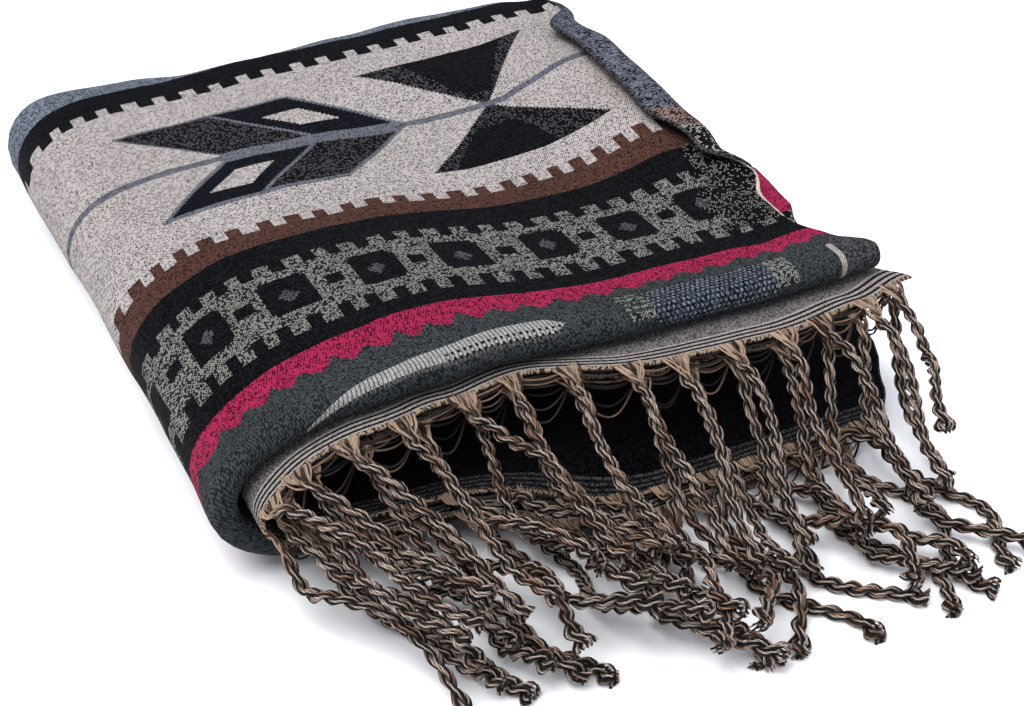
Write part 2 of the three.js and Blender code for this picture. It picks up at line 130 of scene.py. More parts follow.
@dataclass(frozen=True)
class Table:
    """Columns of values over one rising key, eased between the rows."""

    key: tuple[float, ...]
    columns: dict[str, tuple[float, ...]]

    def read(self, column: str, at: np.ndarray) -> np.ndarray:
        """A column's values at places along the key.

        Args:
            column: Name of the column.
            at: Places along the key.

        Returns:
            The eased values, one for each place.
        """
        key, values = np.asarray(self.key), np.asarray(self.columns[column])
        at = np.clip(at, key[0], key[-1])
        row = np.clip(np.searchsorted(key, at, side="right") - 1, 0, len(key) - 2)
        share = ease((at - key[row]) / (key[row + 1] - key[row]))
        return blend(values[row], values[row + 1], share)


@dataclass
class Spots:
    """Places of the packet's section, each an array of section rows by width stations.

    Attributes:
        y: Place from front to back.
        rise: Distance of the cloth's middle from the packet's inner face.
        selvedge: How far right the upper selvedge of that place reaches.
        curl: How tightly that selvedge is curled over.
        droop: How far the cloth sinks below its place on the lower leg.
    """

    y: np.ndarray
    rise: np.ndarray
    selvedge: np.ndarray
    curl: np.ndarray
    droop: np.ndarray

    def row(self, index: int) -> "Spots":
        """One row of the section, kept as an array of one row."""
        part = slice(index, index + 1) if index >= 0 else slice(index, None)
        return Spots(*(values[part] for values in self.values()))

    def values(self) -> tuple[np.ndarray, ...]:
        """The five arrays, in order."""
        return self.y, self.rise, self.selvedge, self.curl, self.droop

    @staticmethod
    def join(parts: list["Spots"]) -> "Spots":
        """Several stretches of the section, one after the other."""
        return Spots(*(np.concatenate(kind) for kind in zip(*(part.values() for part in parts))))


@dataclass(frozen=True)
class Packet:
    """The packet of four layers and the wide lengthwise bend that it is carried round.

    The width runs from 0 at the lower selvedge, round the bend at 0.5, to 1 at the upper
    selvedge. Lengths are in metres, from the stack's front left corner on the floor.

    Attributes:
        curl_turn: Angle that a fully curled selvedge turns over, in radians.
        curl_flatness: How much wider than high the curl is.
        edge_from: Place over the width where the upper selvedge's curl starts.
        swells: Soft rises and hollows: their middle, height and reach to both sides.
        swell_at_inside: Share of a swell that the innermost layer takes.
        droop_gap: How far in front of the roll the droop of a fringed layer starts.
        hem_rows: Distances of the first rows of cloth from a hem.
        hem_reach: Distances between which the rows beside a hem are evenly close.
        hem_depth: Depth share up to which only those rows are cut.
        fringed_length: Length of a fringed layer, which turns their distances into shares.
    """

    cloth_width: float = 0.662
    cloth_length: float = 1.40
    thickness: float = 0.0024
    stack_height: float = 0.086
    hollow_half_height: float = 0.017
    hollow_round_reach: float = 0.060
    curl_length: float = 0.038
    curl_turn: float = 3.5
    curl_flatness: float = 0.55
    inner_fold_inset: float = 0.009
    bend_from: float = 0.38
    bend_to: float = 0.62
    edge_from: float = 0.94

    upper_rises: Table = Table(
        (0.0, 0.1, 0.5, 1.0),
        {
            "end_b": mm(1.6, 1.6, 1.6, 1.6),
            "end_a": mm(8.2, 7.6, 7.0, 7.4),
            "under": mm(13.0, 12.4, 12.4, 13.0),
            "outer": mm(24.8, 20.6, 19.4, 22.0),
        },
    )
    lower_rises: Table = Table(
        (0.0, 1.0),
        {
            "end_b": mm(1.6, 1.6),
            "end_a": mm(8.2, 8.2),
            "under": mm(14.6, 14.6),
            "outer": mm(24.8, 24.8),
        },
    )
    selvedges: Table = Table(
        (0.0, 0.05, 0.13, 0.22, 0.33, 0.45, 0.78, 0.89, 1.0),
        {
            "end_b": mm(360, 350, 338, 328, 325, 324, 324, 326, 330),
            "end_a": mm(366, 354, 338, 327, 325, 325, 325, 325, 326),
            "under": mm(350, 340, 335, 346, 349, 328, 324, 325, 328),
            "outer": mm(350, 336, 327, 327, 342, 351, 354, 343, 326),
        },
    )
    curls: Table = Table(
        (0.0, 0.19, 0.36, 0.5, 0.82, 1.0),
        {"curl": (0.0, 0.0, 0.85, 1.0, 1.0, 0.45)},
    )
    outline: Table = Table(
        (0.0, 0.2, 0.36, 0.5, 0.6, 0.65, 0.7, 0.79, 0.87, 0.94, 1.0),
        {
            "roll": mm(10, 4, 0, 0, 5, 8, 12, 9, 10, 13, 16),
            "end_a": mm(-31, -37, -13, -14, -4, 2, 8, -8, -9, -2, 8),
            "end_b": mm(-25, -30, -8, -8, -1, 5, 11, -5, -6, 1, 12),
            "back": mm(335, 338, 342, 344, 335, 329, 331, 335, 339, 338, 334),
        },
    )
    swells: tuple[tuple[float, ...], ...] = (
        mm(212, 130, -7, 80, 75),
        mm(70, 330, -8, 85, 80),
        mm(280, 320, 4, 80, 70),
        mm(105, 100, 4, 50, 70),
        mm(315, 200, 6, 45, 80),
    )

    end_b_droop: float = 0.011
    end_a_droop: float = 0.0105
    droop_reach: float = 0.030
    droop_full: float = 0.24
    droop_end: float = 0.34
    droop_gap: float = 0.001
    swell_at_inside: float = 0.3
    hem_rows: tuple[float, ...] = mm(0, 0.5, 1.4, 3)
    hem_reach: tuple[float, float] = (0.006, 0.030)
    hem_reach_rows: int = 9
    hem_depth: float = 0.1
    fringed_length: float = 0.33

    @property
    def zone_marks(self) -> tuple[float, ...]:
        """Where the lower leg, the bend, the upper leg and the edge start and end."""
        return 0.0, self.bend_from, self.bend_to, self.edge_from, 1.0

    @property
    def packet_thickness(self) -> float:
        """Height of the four layers together."""
        return self.stack_height / 2 - self.hollow_half_height

    @property
    def bend_start(self) -> float:
        """Where the bend ends and the flat legs start, from the left."""
        return self.hollow_round_reach + self.packet_thickness

    @property
    def hollow_round(self) -> float:
        """Half the round of the hollow's end, by Ramanujan's formula for an ellipse."""
        a, b = self.hollow_round_reach, self.hollow_half_height
        return math.pi / 2 * (3 * (a + b) - math.sqrt((3 * a + b) * (a + 3 * b)))

    def swell(self, x: np.ndarray, y: np.ndarray) -> np.ndarray:
        """How far the soft rises and hollows lift the cloth: a sum of bell curves."""
        lift = np.zeros(np.broadcast(x, y).shape)
        for centre_x, centre_y, rise, reach_x, reach_y in self.swells:
            square = ((x - centre_x) / reach_x) ** 2 + ((y - centre_y) / reach_y) ** 2
            lift = lift + rise * np.exp(-square)
        return lift

    def zone_widths(
        self, rise: np.ndarray, selvedge: np.ndarray
    ) -> tuple[np.ndarray, np.ndarray, np.ndarray]:
        """Widths of cloth in the lower leg, the bend and the upper leg of a layer.

        Args:
            rise: The layer's distance from the packet's inner face.
            selvedge: How far right its upper selvedge reaches.

        Returns:
            The three widths. With the curled selvedge they add up to the cloth's width.
        """
        bend = self.hollow_round + math.pi * rise
        upper = selvedge - self.curl_length - self.bend_start
        lower = self.cloth_width - bend - upper - self.curl_length
        return lower, bend, upper

    def zone_shares(self, across: np.ndarray) -> list[np.ndarray]:
        """How far each place over the width is through each of the four zones, from 0 to 1."""
        marks = self.zone_marks
        return [np.clip((across - low) / (high - low), 0, 1) for low, high in zip(marks, marks[1:])]

    def width_places(self, across: np.ndarray, spots: Spots) -> np.ndarray:
        """Place of each station over the width, laid flat, with 0 where the upper leg starts."""
        lower, bend, upper = self.zone_widths(spots.rise, spots.selvedge)
        low, turn, up, edge = self.zone_shares(across)
        return (low - 1) * lower + (turn - 1) * bend + up * upper + edge * self.curl_length

    def place(self, across: np.ndarray, spots: Spots, rise: np.ndarray) -> np.ndarray:
        """Points of the packet, bent round into the stack.

        On the lower leg a rise goes down and x falls with the width. In the bend the point
        moves round a half ellipse, pushed out by its rise. On the upper leg a rise goes up,
        and at the selvedge the cloth turns over in a flattened round.

        Args:
            across: Place over the width, from 0 to 1, for each station.
            spots: The section, by rows and stations.
            rise: How far each point itself lies from the packet's inner face.

        Returns:
            Points, as an array of rows by stations by three.
        """
        middle = self.stack_height / 2
        a, b = self.hollow_round_reach, self.hollow_half_height
        lower, _, upper = self.zone_widths(spots.rise, spots.selvedge)
        lift = blend(self.swell_at_inside, 1.0, rise / self.packet_thickness)
        low, turn, flat, share = self.zone_shares(across)
        x_low = self.bend_start + lower * (1 - low)
        z_low = middle - b - rise - spots.droop
        side, up = np.sin(np.pi * turn), -np.cos(np.pi * turn)
        length = np.hypot(b * side, a * up)
        x_bend = self.bend_start - a * side - rise * b * side / length
        z_bend = middle + b * up + rise * a * up / length
        z_bend = z_bend + ease(2 * turn - 1) * lift * self.swell(x_bend, spots.y)
        x_up = self.bend_start + upper * flat
        z_up = middle + b + rise + lift * self.swell(x_up, spots.y)
        radius = self.curl_length / self.curl_turn
        wide = radius * (1 + self.curl_flatness)
        high = radius * (1 - self.curl_flatness)
        reached, flat_length = self.curl_length * share, self.curl_length * (1 - spots.curl)
        angle = np.maximum(0.0, reached - flat_length) / radius
        step_x, step_z = wide * np.cos(angle), high * np.sin(angle)
        step = np.hypot(step_x, step_z)
        off = rise - spots.rise
        x_edge = spots.selvedge - self.curl_length + np.minimum(reached, flat_length)
        x_edge = x_edge + wide * np.sin(angle) - off * step_z / step
        ground = middle + b + spots.rise
        ground = ground + lift * self.swell(np.minimum(x_edge, spots.selvedge), spots.y)
        z_edge = ground + high * (1 - np.cos(angle)) + off * step_x / step
        zones = [across < self.bend_from, across < self.bend_to, across <= self.edge_from]
        zones = [np.broadcast_to(zone, rise.shape) for zone in zones]
        x = np.select(zones, [x_low, x_bend, x_up], x_edge)
        z = np.select(zones, [z_low, z_bend, z_up], z_edge)
        return np.stack([x, np.broadcast_to(spots.y, x.shape), z], axis=-1)

    def hem_droop(self, column: str, y: np.ndarray, across: np.ndarray) -> np.ndarray:
        """How far a fringed layer of the lower leg sinks towards the floor before the roll.

        The droop is eased in over a reach in front of the roll, and out before the bend.

        Args:
            column: Name of the layer.
            y: Place from front to back.
            across: Place over the width.

        Returns:
            The droop at each place.
        """
        full = {"end_b": self.end_b_droop, "end_a": self.end_a_droop}.get(column, 0.0)
        start = self.outline.read("roll", across) - self.droop_gap
        fade = ease((self.droop_end - across) / (self.droop_end - self.droop_full))
        return full * ease((start - y) / self.droop_reach) * fade

    def layer(self, column: str, depth: np.ndarray, y: np.ndarray, across: np.ndarray) -> Spots:
        """Spots of one layer.

        Args:
            column: Name of the layer.
            depth: Share of the way from the layer's front to its back, as rows.
            y: Place from front to back, by rows and stations.
            across: Place over the width of each station.

        Returns:
            The layer's spots.
        """
        _, turn, _, _ = self.zone_shares(across)
        lower, upper = (table.read(column, depth) for table in (self.lower_rises, self.upper_rises))
        rise = blend(lower, upper, ease(turn))
        curl = self.curls.read("curl", depth) if column == "outer" else np.zeros(depth.shape)
        selvedge = self.selvedges.read(column, depth)
        droop = self.hem_droop(column, y, across)
        shape = np.broadcast(y, rise).shape
        parts = (y, rise, selvedge, curl, droop)
        return Spots(*(np.broadcast_to(part, shape) for part in parts))

    def run(
        self, column: str, front: np.ndarray, back: np.ndarray, across: np.ndarray, depth: np.ndarray
    ) -> Spots:
        """The straight run of a layer, through a list of depth shares."""
        rows = depth[:, None]
        return self.layer(column, rows, blend(front, back, rows), across)

    @staticmethod
    def fold(start: Spots, end: Spots, towards: float, steps: int) -> Spots:
        """The half round between the ends of two runs.

        Args:
            start: Last row of the run before.
            end: First row of the run after.
            towards: 1 for a fold at the back, -1 for one at the front.
            steps: Number of steps round the fold.

        Returns:
            The rows between the two ends.
        """
        share = (np.arange(1, steps) / steps)[:, None]
        radius = np.abs(end.rise - start.rise) / 2
        sense = np.sign(end.rise - start.rise)
        rise = (start.rise + end.rise) / 2 - sense * radius * np.cos(np.pi * share)
        return Spots(
            start.y + towards * radius * np.sin(np.pi * share),
            rise,
            blend(start.selvedge, end.selvedge, share),
            blend(start.curl, end.curl, share),
            np.zeros_like(rise),
        )

    def section(self, across: np.ndarray, steps: dict[str, int]) -> tuple[Spots, int]:
        """The whole section, from the fringed end at the inside to the other fringed end.

        Args:
            across: Place over the width of each station.
            steps: How finely each layer and fold is cut.

        Returns:
            The spots, and the row where the roll at the front turns over.
        """
        front = np.zeros((1, 1))
        rise = {
            (name, depth): self.layer(name, front + depth, front, across).rise
            for name in self.upper_rises.columns
            for depth in (0, 1)
        }
        at = {name: self.outline.read(name, across)[None, :] for name in self.outline.columns}
        roll = at["roll"] + (rise["outer", 0] - rise["under", 0]) / 2
        outer_back = at["back"] - (rise["outer", 1] - rise["end_b", 1]) / 2
        inner_back = at["back"] - self.inner_fold_inset
        inner_back = inner_back - (rise["under", 1] - rise["end_a", 1]) / 2
        fine = np.linspace(0, 1, steps["outer"] + 1)
        coarse = np.linspace(0, 1, steps["inner"] + 1)
        hem = np.concatenate([self.hem_rows, np.linspace(*self.hem_reach, self.hem_reach_rows)])
        shares = [hem / self.fringed_length, coarse[coarse > self.hem_depth]]
        hemmed = np.unique(np.concatenate(shares))
        end_b = self.run("end_b", at["end_b"], outer_back, across, hemmed)
        outer = self.run("outer", roll, outer_back, across, fine[::-1])
        under = self.run("under", roll, inner_back, across, coarse)
        end_a = self.run("end_a", at["end_a"], inner_back, across, hemmed[::-1])
        back_fold = self.fold(end_b.row(-1), outer.row(0), 1, steps["back"])
        roll_fold = self.fold(outer.row(-1), under.row(0), -1, steps["roll"])
        inner_fold = self.fold(under.row(-1), end_a.row(0), 1, steps["nested"])
        parts = [end_b, back_fold, outer, roll_fold, under, inner_fold, end_a]
        turn = sum(len(part.y) for part in parts[:3]) + steps["roll"] // 2 - 1
        return Spots.join(parts), turn


@dataclass(frozen=True)
class Origin:
    """Where the stack's front left corner on the floor lies in the row frame."""

    offset: Vector

    @staticmethod
    def from_frame(packet: Packet) -> "Origin":
        """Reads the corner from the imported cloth: its left side, its back fold and its base."""
        low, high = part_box("shawl_cloth")
        back = max(packet.outline.columns["back"]) + packet.thickness / 2
        return Origin(Vector((low.x, high.y - back, low.z)))


def make_mesh(name: str, points: np.ndarray, quads: np.ndarray, caps: np.ndarray) -> bpy.types.Object:
    """A mesh object from arrays.

    Args:
        name: Name of the piece.
        points: Vertices, in the row frame.
        quads: Faces of four corners.
        caps: Faces of any one other number of corners, or an empty array.

    Returns:
        The new object, linked to the scene, shaded smooth.
    """
    mesh = bpy.data.meshes.new(name)
    loops = np.concatenate([quads.ravel(), caps.ravel()]).astype(np.int32)
    sizes = np.concatenate([np.full(len(quads), 4), np.full(len(caps), caps.shape[-1])])
    starts = np.concatenate([[0], np.cumsum(sizes)[:-1]]).astype(np.int32)
    mesh.vertices.add(len(points))
    mesh.vertices.foreach_set("co", points.astype(np.float32).ravel())
    mesh.loops.add(len(loops))
    mesh.loops.foreach_set("vertex_index", loops)
    mesh.polygons.add(len(sizes))
    mesh.polygons.foreach_set("loop_start", starts)
    mesh.update(calc_edges=True)
    mesh.validate()
    mesh.polygons.foreach_set("use_smooth", np.ones(len(mesh.polygons), bool))
    piece = bpy.data.objects.new(name, mesh)
    bpy.context.scene.collection.objects.link(piece)
    return piece


def add_uv(piece: bpy.types.Object, name: str, values: np.ndarray) -> None:
    """Adds a UV layer from one pair of values for each vertex."""
    mesh = piece.data
    corners = np.zeros(len(mesh.loops), np.int32)
    mesh.loops.foreach_get("vertex_index", corners)
    layer = mesh.uv_layers.new(name=name)
    layer.uv.foreach_set("vector", values[corners].astype(np.float32).ravel())


def add_values(piece: bpy.types.Object, name: str, values: np.ndarray) -> None:
    """Adds one number for each vertex, as an attribute that a material can read."""
    attribute = piece.data.attributes.new(name, "FLOAT", "POINT")
    attribute.data.foreach_set("value", values.astype(np.float32).ravel())


class Signal:
    """A number that varies over a surface, built up from shader arithmetic."""

    def __init__(self, tree: bpy.types.NodeTree, socket: bpy.types.NodeSocket) -> None:
        """Wraps one output socket of a node tree."""
        self.tree = tree
        self.socket = socket

    def math(self, operation: str, *others: "Signal | float") -> "Signal":
        """The result of one arithmetic node on this signal and others."""
        node = self.tree.nodes.new("ShaderNodeMath")
        node.operation = operation
        self.tree.links.new(self.socket, node.inputs[0])
        for place, other in enumerate(others, start=1):
            if isinstance(other, Signal):
                self.tree.links.new(other.socket, node.inputs[place])
            else:
                node.inputs[place].default_value = other
        return Signal(self.tree, node.outputs[0])

    def __add__(self, other: "Signal | float") -> "Signal":
        """The sum."""
        return self.math("ADD", other)

    def __sub__(self, other: "Signal | float") -> "Signal":
        """The difference."""
        return self.math("SUBTRACT", other)

    def __mul__(self, other: "Signal | float") -> "Signal":
        """The product."""
        return self.math("MULTIPLY", other)

    def __truediv__(self, other: "Signal | float") -> "Signal":
        """The quotient."""
        return self.math("DIVIDE", other)

    def __lt__(self, other: "Signal | float") -> "Signal":
        """One where this is less than the other, else zero."""
        return self.math("LESS_THAN", other)

    def __gt__(self, other: "Signal | float") -> "Signal":
        """One where this is more than the other, else zero."""
        return self.math("GREATER_THAN", other)

    def __and__(self, other: "Signal") -> "Signal":
        """The lesser of two masks."""
        return self.math("MINIMUM", other)

    def __or__(self, other: "Signal") -> "Signal":
        """The greater of two masks."""
        return self.math("MAXIMUM", other)

    def __invert__(self) -> "Signal":
        """One less this mask."""
        return (self * -1.0) + 1.0

    def size(self) -> "Signal":
        """The value without its sign."""
        return self.math("ABSOLUTE")

    def cell(self, pitch: float) -> "Signal":
        """The number of the cell of a pitch that this lies in."""
        return (self / pitch).math("FLOOR")

    def snap(self, pitch: float) -> "Signal":
        """The middle of the cell of a pitch that this lies in."""
        return (self.cell(pitch) + 0.5) * pitch

    def saw(self, pitch: float, start: float = 0.0) -> "Signal":
        """Distance past the last of a row of marks at a pitch from a start."""
        return ((self - start) / pitch).math("FRACT") * pitch

    def past_marks(self, pitch: float, mark: float) -> "Signal":
        """How far this is past the nearest of a row of marks, or short of it if negative."""
        return self.saw(pitch, mark - pitch / 2) - pitch / 2

    def from_marks(self, pitch: float, mark: float) -> "Signal":
        """Distance from the nearest of a row of marks, one of which is given."""
        return self.past_marks(pitch, mark).size()

    def between(self, low: "Signal | float", high: "Signal | float") -> "Signal":
        """One from low to high, else zero."""
        return (self > low) & (self < high)

    def wave(self, pitch: float) -> "Signal":
        """A sine of a pitch, from 0 to 1."""
        return (self * (2 * math.pi / pitch)).math("SINE") * 0.5 + 0.5


class Cloth:
    """A material under construction: its nodes, its surface coordinates and its colour."""

    def __init__(self, name: str, coat: "Finish") -> None:
        """Starts a material with a shader of the given finish.

        Args:
            name: Name of the material.
            coat: The numbers that are the same all over it.
        """
        self.material = bpy.data.materials.new(name)
        self.material.use_nodes = True
        self.tree = self.material.node_tree
        self.shader = self.tree.nodes["Principled BSDF"]
        self.shader.inputs["Roughness"].default_value = coat.roughness
        self.shader.inputs["Specular IOR Level"].default_value = coat.specular
        self.shader.inputs["Sheen Weight"].default_value = coat.sheen
        self.shader.inputs["Sheen Roughness"].default_value = coat.sheen_roughness
        self.shader.inputs["Sheen Tint"].default_value = (*coat.sheen_tint, 1.0)

    def uv(self, layer: str) -> tuple[Signal, Signal]:
        """The two coordinates of a UV layer, in millimetres of cloth."""
        node = self.tree.nodes.new("ShaderNodeUVMap")
        node.uv_map = layer
        parts = self.tree.nodes.new("ShaderNodeSeparateXYZ")
        self.tree.links.new(node.outputs[0], parts.inputs[0])
        return tuple(Signal(self.tree, parts.outputs[i]) * (1 / MM) for i in range(2))

    def value(self, attribute: str) -> Signal:
        """A number that the mesh holds at each vertex."""
        node = self.tree.nodes.new("ShaderNodeAttribute")
        node.attribute_name = attribute
        return Signal(self.tree, node.outputs["Fac"])

    def vector(self, x: Signal, y: Signal) -> bpy.types.NodeSocket:
        """Two signals as a vector."""
        node = self.tree.nodes.new("ShaderNodeCombineXYZ")
        self.tree.links.new(x.socket, node.inputs[0])
        self.tree.links.new(y.socket, node.inputs[1])
        return node.outputs[0]

    def chance(self, x: Signal, y: Signal, salt: float) -> Signal:
        """An even scatter from 0 to 1, one value for each pair of whole numbers."""
        node = self.tree.nodes.new("ShaderNodeTexWhiteNoise")
        node.noise_dimensions = "2D"
        self.tree.links.new(self.vector(x + salt, y), node.inputs["Vector"])
        return Signal(self.tree, node.outputs["Value"])

    def cloud(self, x: Signal, y: Signal, pitch: float, detail: float = 2.0) -> Signal:
        """Soft noise about 0.5, with blotches of a pitch."""
        node = self.tree.nodes.new("ShaderNodeTexNoise")
        node.noise_dimensions = "2D"
        node.inputs["Scale"].default_value = 1.0 / pitch
        node.inputs["Detail"].default_value = detail
        self.tree.links.new(self.vector(x, y), node.inputs["Vector"])
        return Signal(self.tree, node.outputs["Fac"])

    def paint(
        self, mask: Signal | float, under: "Paint", over: "Paint", way: str = "MIX"
    ) -> bpy.types.NodeSocket:
        """The colour over another where a mask is one, laid on in a way that the node knows."""
        node = self.tree.nodes.new("ShaderNodeMix")
        node.data_type, node.blend_type = "RGBA", way
        for place, value in zip(MIX_INPUTS, (mask, under, over)):
            if isinstance(value, Signal):
                self.tree.links.new(value.socket, node.inputs[place])
            elif isinstance(value, bpy.types.NodeSocket):
                self.tree.links.new(value, node.inputs[place])
            else:
                node.inputs[place].default_value = (*value, 1.0) if place else value
        return node.outputs[2]

    def shade(self, colour: bpy.types.NodeSocket, light: Signal) -> bpy.types.NodeSocket:
        """A colour made darker or lighter by a signal."""
        grey = self.tree.nodes.new("ShaderNodeCombineColor")
        for place in range(3):
            self.tree.links.new(light.socket, grey.inputs[place])
        return self.paint(1.0, colour, grey.outputs[0], "MULTIPLY")

    def finish(self, colour: bpy.types.NodeSocket, height: Signal, depth: float) -> bpy.types.Material:
        """Links the colour and the relief to the shader.

        Args:
            colour: Colour of the surface.
            height: Relief from 0 to 1.
            depth: What a relief of 1 stands for, in metres.

        Returns:
            The material.
        """
        bump = self.tree.nodes.new("ShaderNodeBump")
        bump.inputs["Strength"].default_value = 1.0
        bump.inputs["Distance"].default_value = depth
        self.tree.links.new(height.socket, bump.inputs["Height"])
        self.tree.links.new(bump.outputs[0], self.shader.inputs["Normal"])
        self.tree.links.new(colour, self.shader.inputs["Base Color"])
        return self.material


Paint = COLOUR | bpy.types.NodeSocket


def srgb(red: int, green: int, blue: int) -> COLOUR:
    """A screen colour as linear light: the shares, to the power of 2.2."""
    return tuple((value / 255) ** 2.2 for value in (red, green, blue))


@dataclass(frozen=True)
class Finish:
    """What is the same all over a finish: how it scatters light."""

    roughness: float = 0.92
    specular: float = 0.05
    sheen: float = 0.02
    sheen_roughness: float = 0.5
    sheen_tint: COLOUR = (0.8, 0.8, 0.82)


@dataclass(frozen=True)
class Yarns:
    """A woven mix of two yarns: their colours and the share of cells that show the light one."""

    light: COLOUR
    dark: COLOUR
    share: float


class Ground(Enum):
    """The yarn mixes of the cloth's grounds and motifs."""

    SLATE = Yarns(srgb(65, 69, 71), srgb(34, 37, 38), 0.5)
    RED = Yarns(srgb(154, 40, 74), srgb(80, 20, 38), 0.62)
    # Also painted as shade in the hollow inside the fold.
    BLACK = Yarns(srgb(28, 29, 35), srgb(9, 9, 12), 0.32)
    MOSS = Yarns(srgb(122, 124, 117), srgb(32, 34, 34), 0.48)
    BROWN = Yarns(srgb(84, 58, 50), srgb(44, 30, 28), 0.6)
    SAND = Yarns(srgb(176, 168, 165), srgb(88, 80, 78), 0.67)
    MIST = Yarns(srgb(118, 125, 136), srgb(62, 68, 78), 0.5)
    HAZE = Yarns(srgb(104, 106, 114), srgb(66, 68, 76), 0.6)
    GRAIN = Yarns(srgb(82, 80, 84), srgb(15, 14, 18), 0.3)
    NAVY = Yarns(srgb(28, 30, 41), srgb(9, 10, 15), 0.35)
    LEAD = Yarns(srgb(60, 63, 72), srgb(20, 22, 28), 0.42)
    LIP = Yarns(srgb(104, 108, 118), srgb(30, 33, 41), 0.5)
    BLUSH = Yarns(srgb(134, 112, 106), srgb(44, 33, 31), 0.5)
    PEPPER = Yarns(srgb(164, 162, 154), srgb(11, 12, 14), 0.3)
    HEM = Yarns(srgb(124, 119, 119), srgb(76, 72, 75), 0.52)
    GAP = Yarns(srgb(34, 31, 33), srgb(20, 18, 20), 0.5)
    RIB = Yarns(srgb(158, 152, 147), srgb(120, 114, 110), 0.7)
    NET = Yarns(srgb(112, 112, 105), srgb(13, 14, 17), 0.3)
    PEWTER = Yarns(srgb(166, 164, 161), srgb(138, 136, 133), 0.6)
    SEAM = Yarns(srgb(98, 96, 95), srgb(76, 74, 73), 0.6)
    THREAD = Yarns(srgb(206, 190, 176), srgb(150, 132, 120), 0.75)
    # A dim grey: part of the cloth's own pattern in places, and also painted shade on the spindle's
    # lower edge and on the ribs inside the hollow.
    SHADE = Yarns(srgb(78, 78, 80), srgb(38, 38, 42), 0.5)
    CREAM = Yarns(srgb(160, 140, 118), srgb(58, 48, 42), 0.55)


Layer = Callable[[Signal, Ground], None]


@dataclass(frozen=True)
class Lay:
    """How the bands wander over the laid cloth: they were measured to lie a little uneven.

    Attributes:
        across: Places over the width, in metres from where the upper leg starts.
        bands: Places of bands along the cloth, each with its shifts at the places across.
    """

    across: tuple[float, ...] = mm(-126, -86, -36, 24, 74, 114, 164, 214, 254)
    bands: tuple[tuple[float, tuple[float, ...]], ...] = (
        (0.008, mm(0, 0, 0, 0, 0, 0, 0, 0, 0)),
        (0.030, mm(-8, -8, -2, 6, 4, 2, -1, -3, -3)),
        (0.0385, mm(-4, -2, 5, 12, 8, 5, 2, -2, -3)),
        (0.076, mm(0, 3, 9, 11, 10, 9, 8, 5, 4)),
        (0.116, mm(4, 6, 14, 18, 15, 13, 13, 17, 18)),
        (0.139, mm(4, 8, 12, 11, 9, 9, 13, 22, 24)),
        (0.165, mm(6, 10, 13, 13, 10, 10, 14, 26, 28)),
        (0.213, mm(8, 8, 5, 5, 2, 2, 7, 28, 34)),
        (0.262, mm(4, 4, 4, 4, 4, 6, 9, 17, 22)),
        (0.295, mm(0, 0, 2, 1, 2, 4, 7, 5, 5)),
        (0.330, mm(0, 0, 0, 0, 0, 0, 0, 0, 0)),
    )

    def pattern_place(self, flat: np.ndarray, along: np.ndarray) -> np.ndarray:
        """Place in the pattern for each place on the cloth.

        Between two neighbouring bands the pattern is stretched evenly, so that each band comes
        to lie at its own place plus its shift. Outside the first and last band nothing moves.

        Args:
            flat: Place over the width.
            along: Place along the cloth, from the roll.

        Returns:
            Places along the pattern.
        """
        marks = [
            (place, place + np.interp(flat, self.across, shifts)) for place, shifts in self.bands
        ]
        pattern = np.minimum(along, marks[0][1])
        for (place, start), (next_place, end) in zip(marks, marks[1:]):
            stretch = (next_place - place) / (end - start)
            pattern = pattern + np.clip(along - start, 0, end - start) * stretch
        return pattern + np.maximum(along - marks[-1][1], 0)


@dataclass(frozen=True)
class Lozenges:
    """The row of lozenges in the moss band, with a dot between every two, in millimetres.

    Attributes:
        pitch: Distance between lozenges.
        at: Where one of them lies.
        half: Half the height and width of one.
        corner: Sum of the distances across and along at which its corners are cut off.
        heart: The same sum for the small lozenge inside it.
        dot: Half the width and half the height of a dot.
    """

    pitch: float = 45.0
    at: float = 25.0
    half: float = 12.0
    corner: float = 21.5
    heart: float = 5.0
    dot: tuple[float, float] = (4.4, 3.6)

    def paint(self, x: Signal, off: Signal, lay: Layer) -> None:
        """Lays the row. The distances across and along, and their sum, bound each form.

        Args:
            x: Place over the width.
            off: Distance from the middle of the row, along the cloth.
            lay: Paints a yarn mix where a mask is one.
        """
        beside = x.from_marks(self.pitch, self.at)
        around = beside + off
        lay((beside < self.half) & (off < self.half) & (around < self.corner), Ground.BLACK)
        lay(around < self.heart, Ground.SHADE)
        from_dot = x.from_marks(self.pitch, self.at + self.pitch / 2)
        lay((from_dot < self.dot[0]) & (off < self.dot[1]), Ground.BLACK)


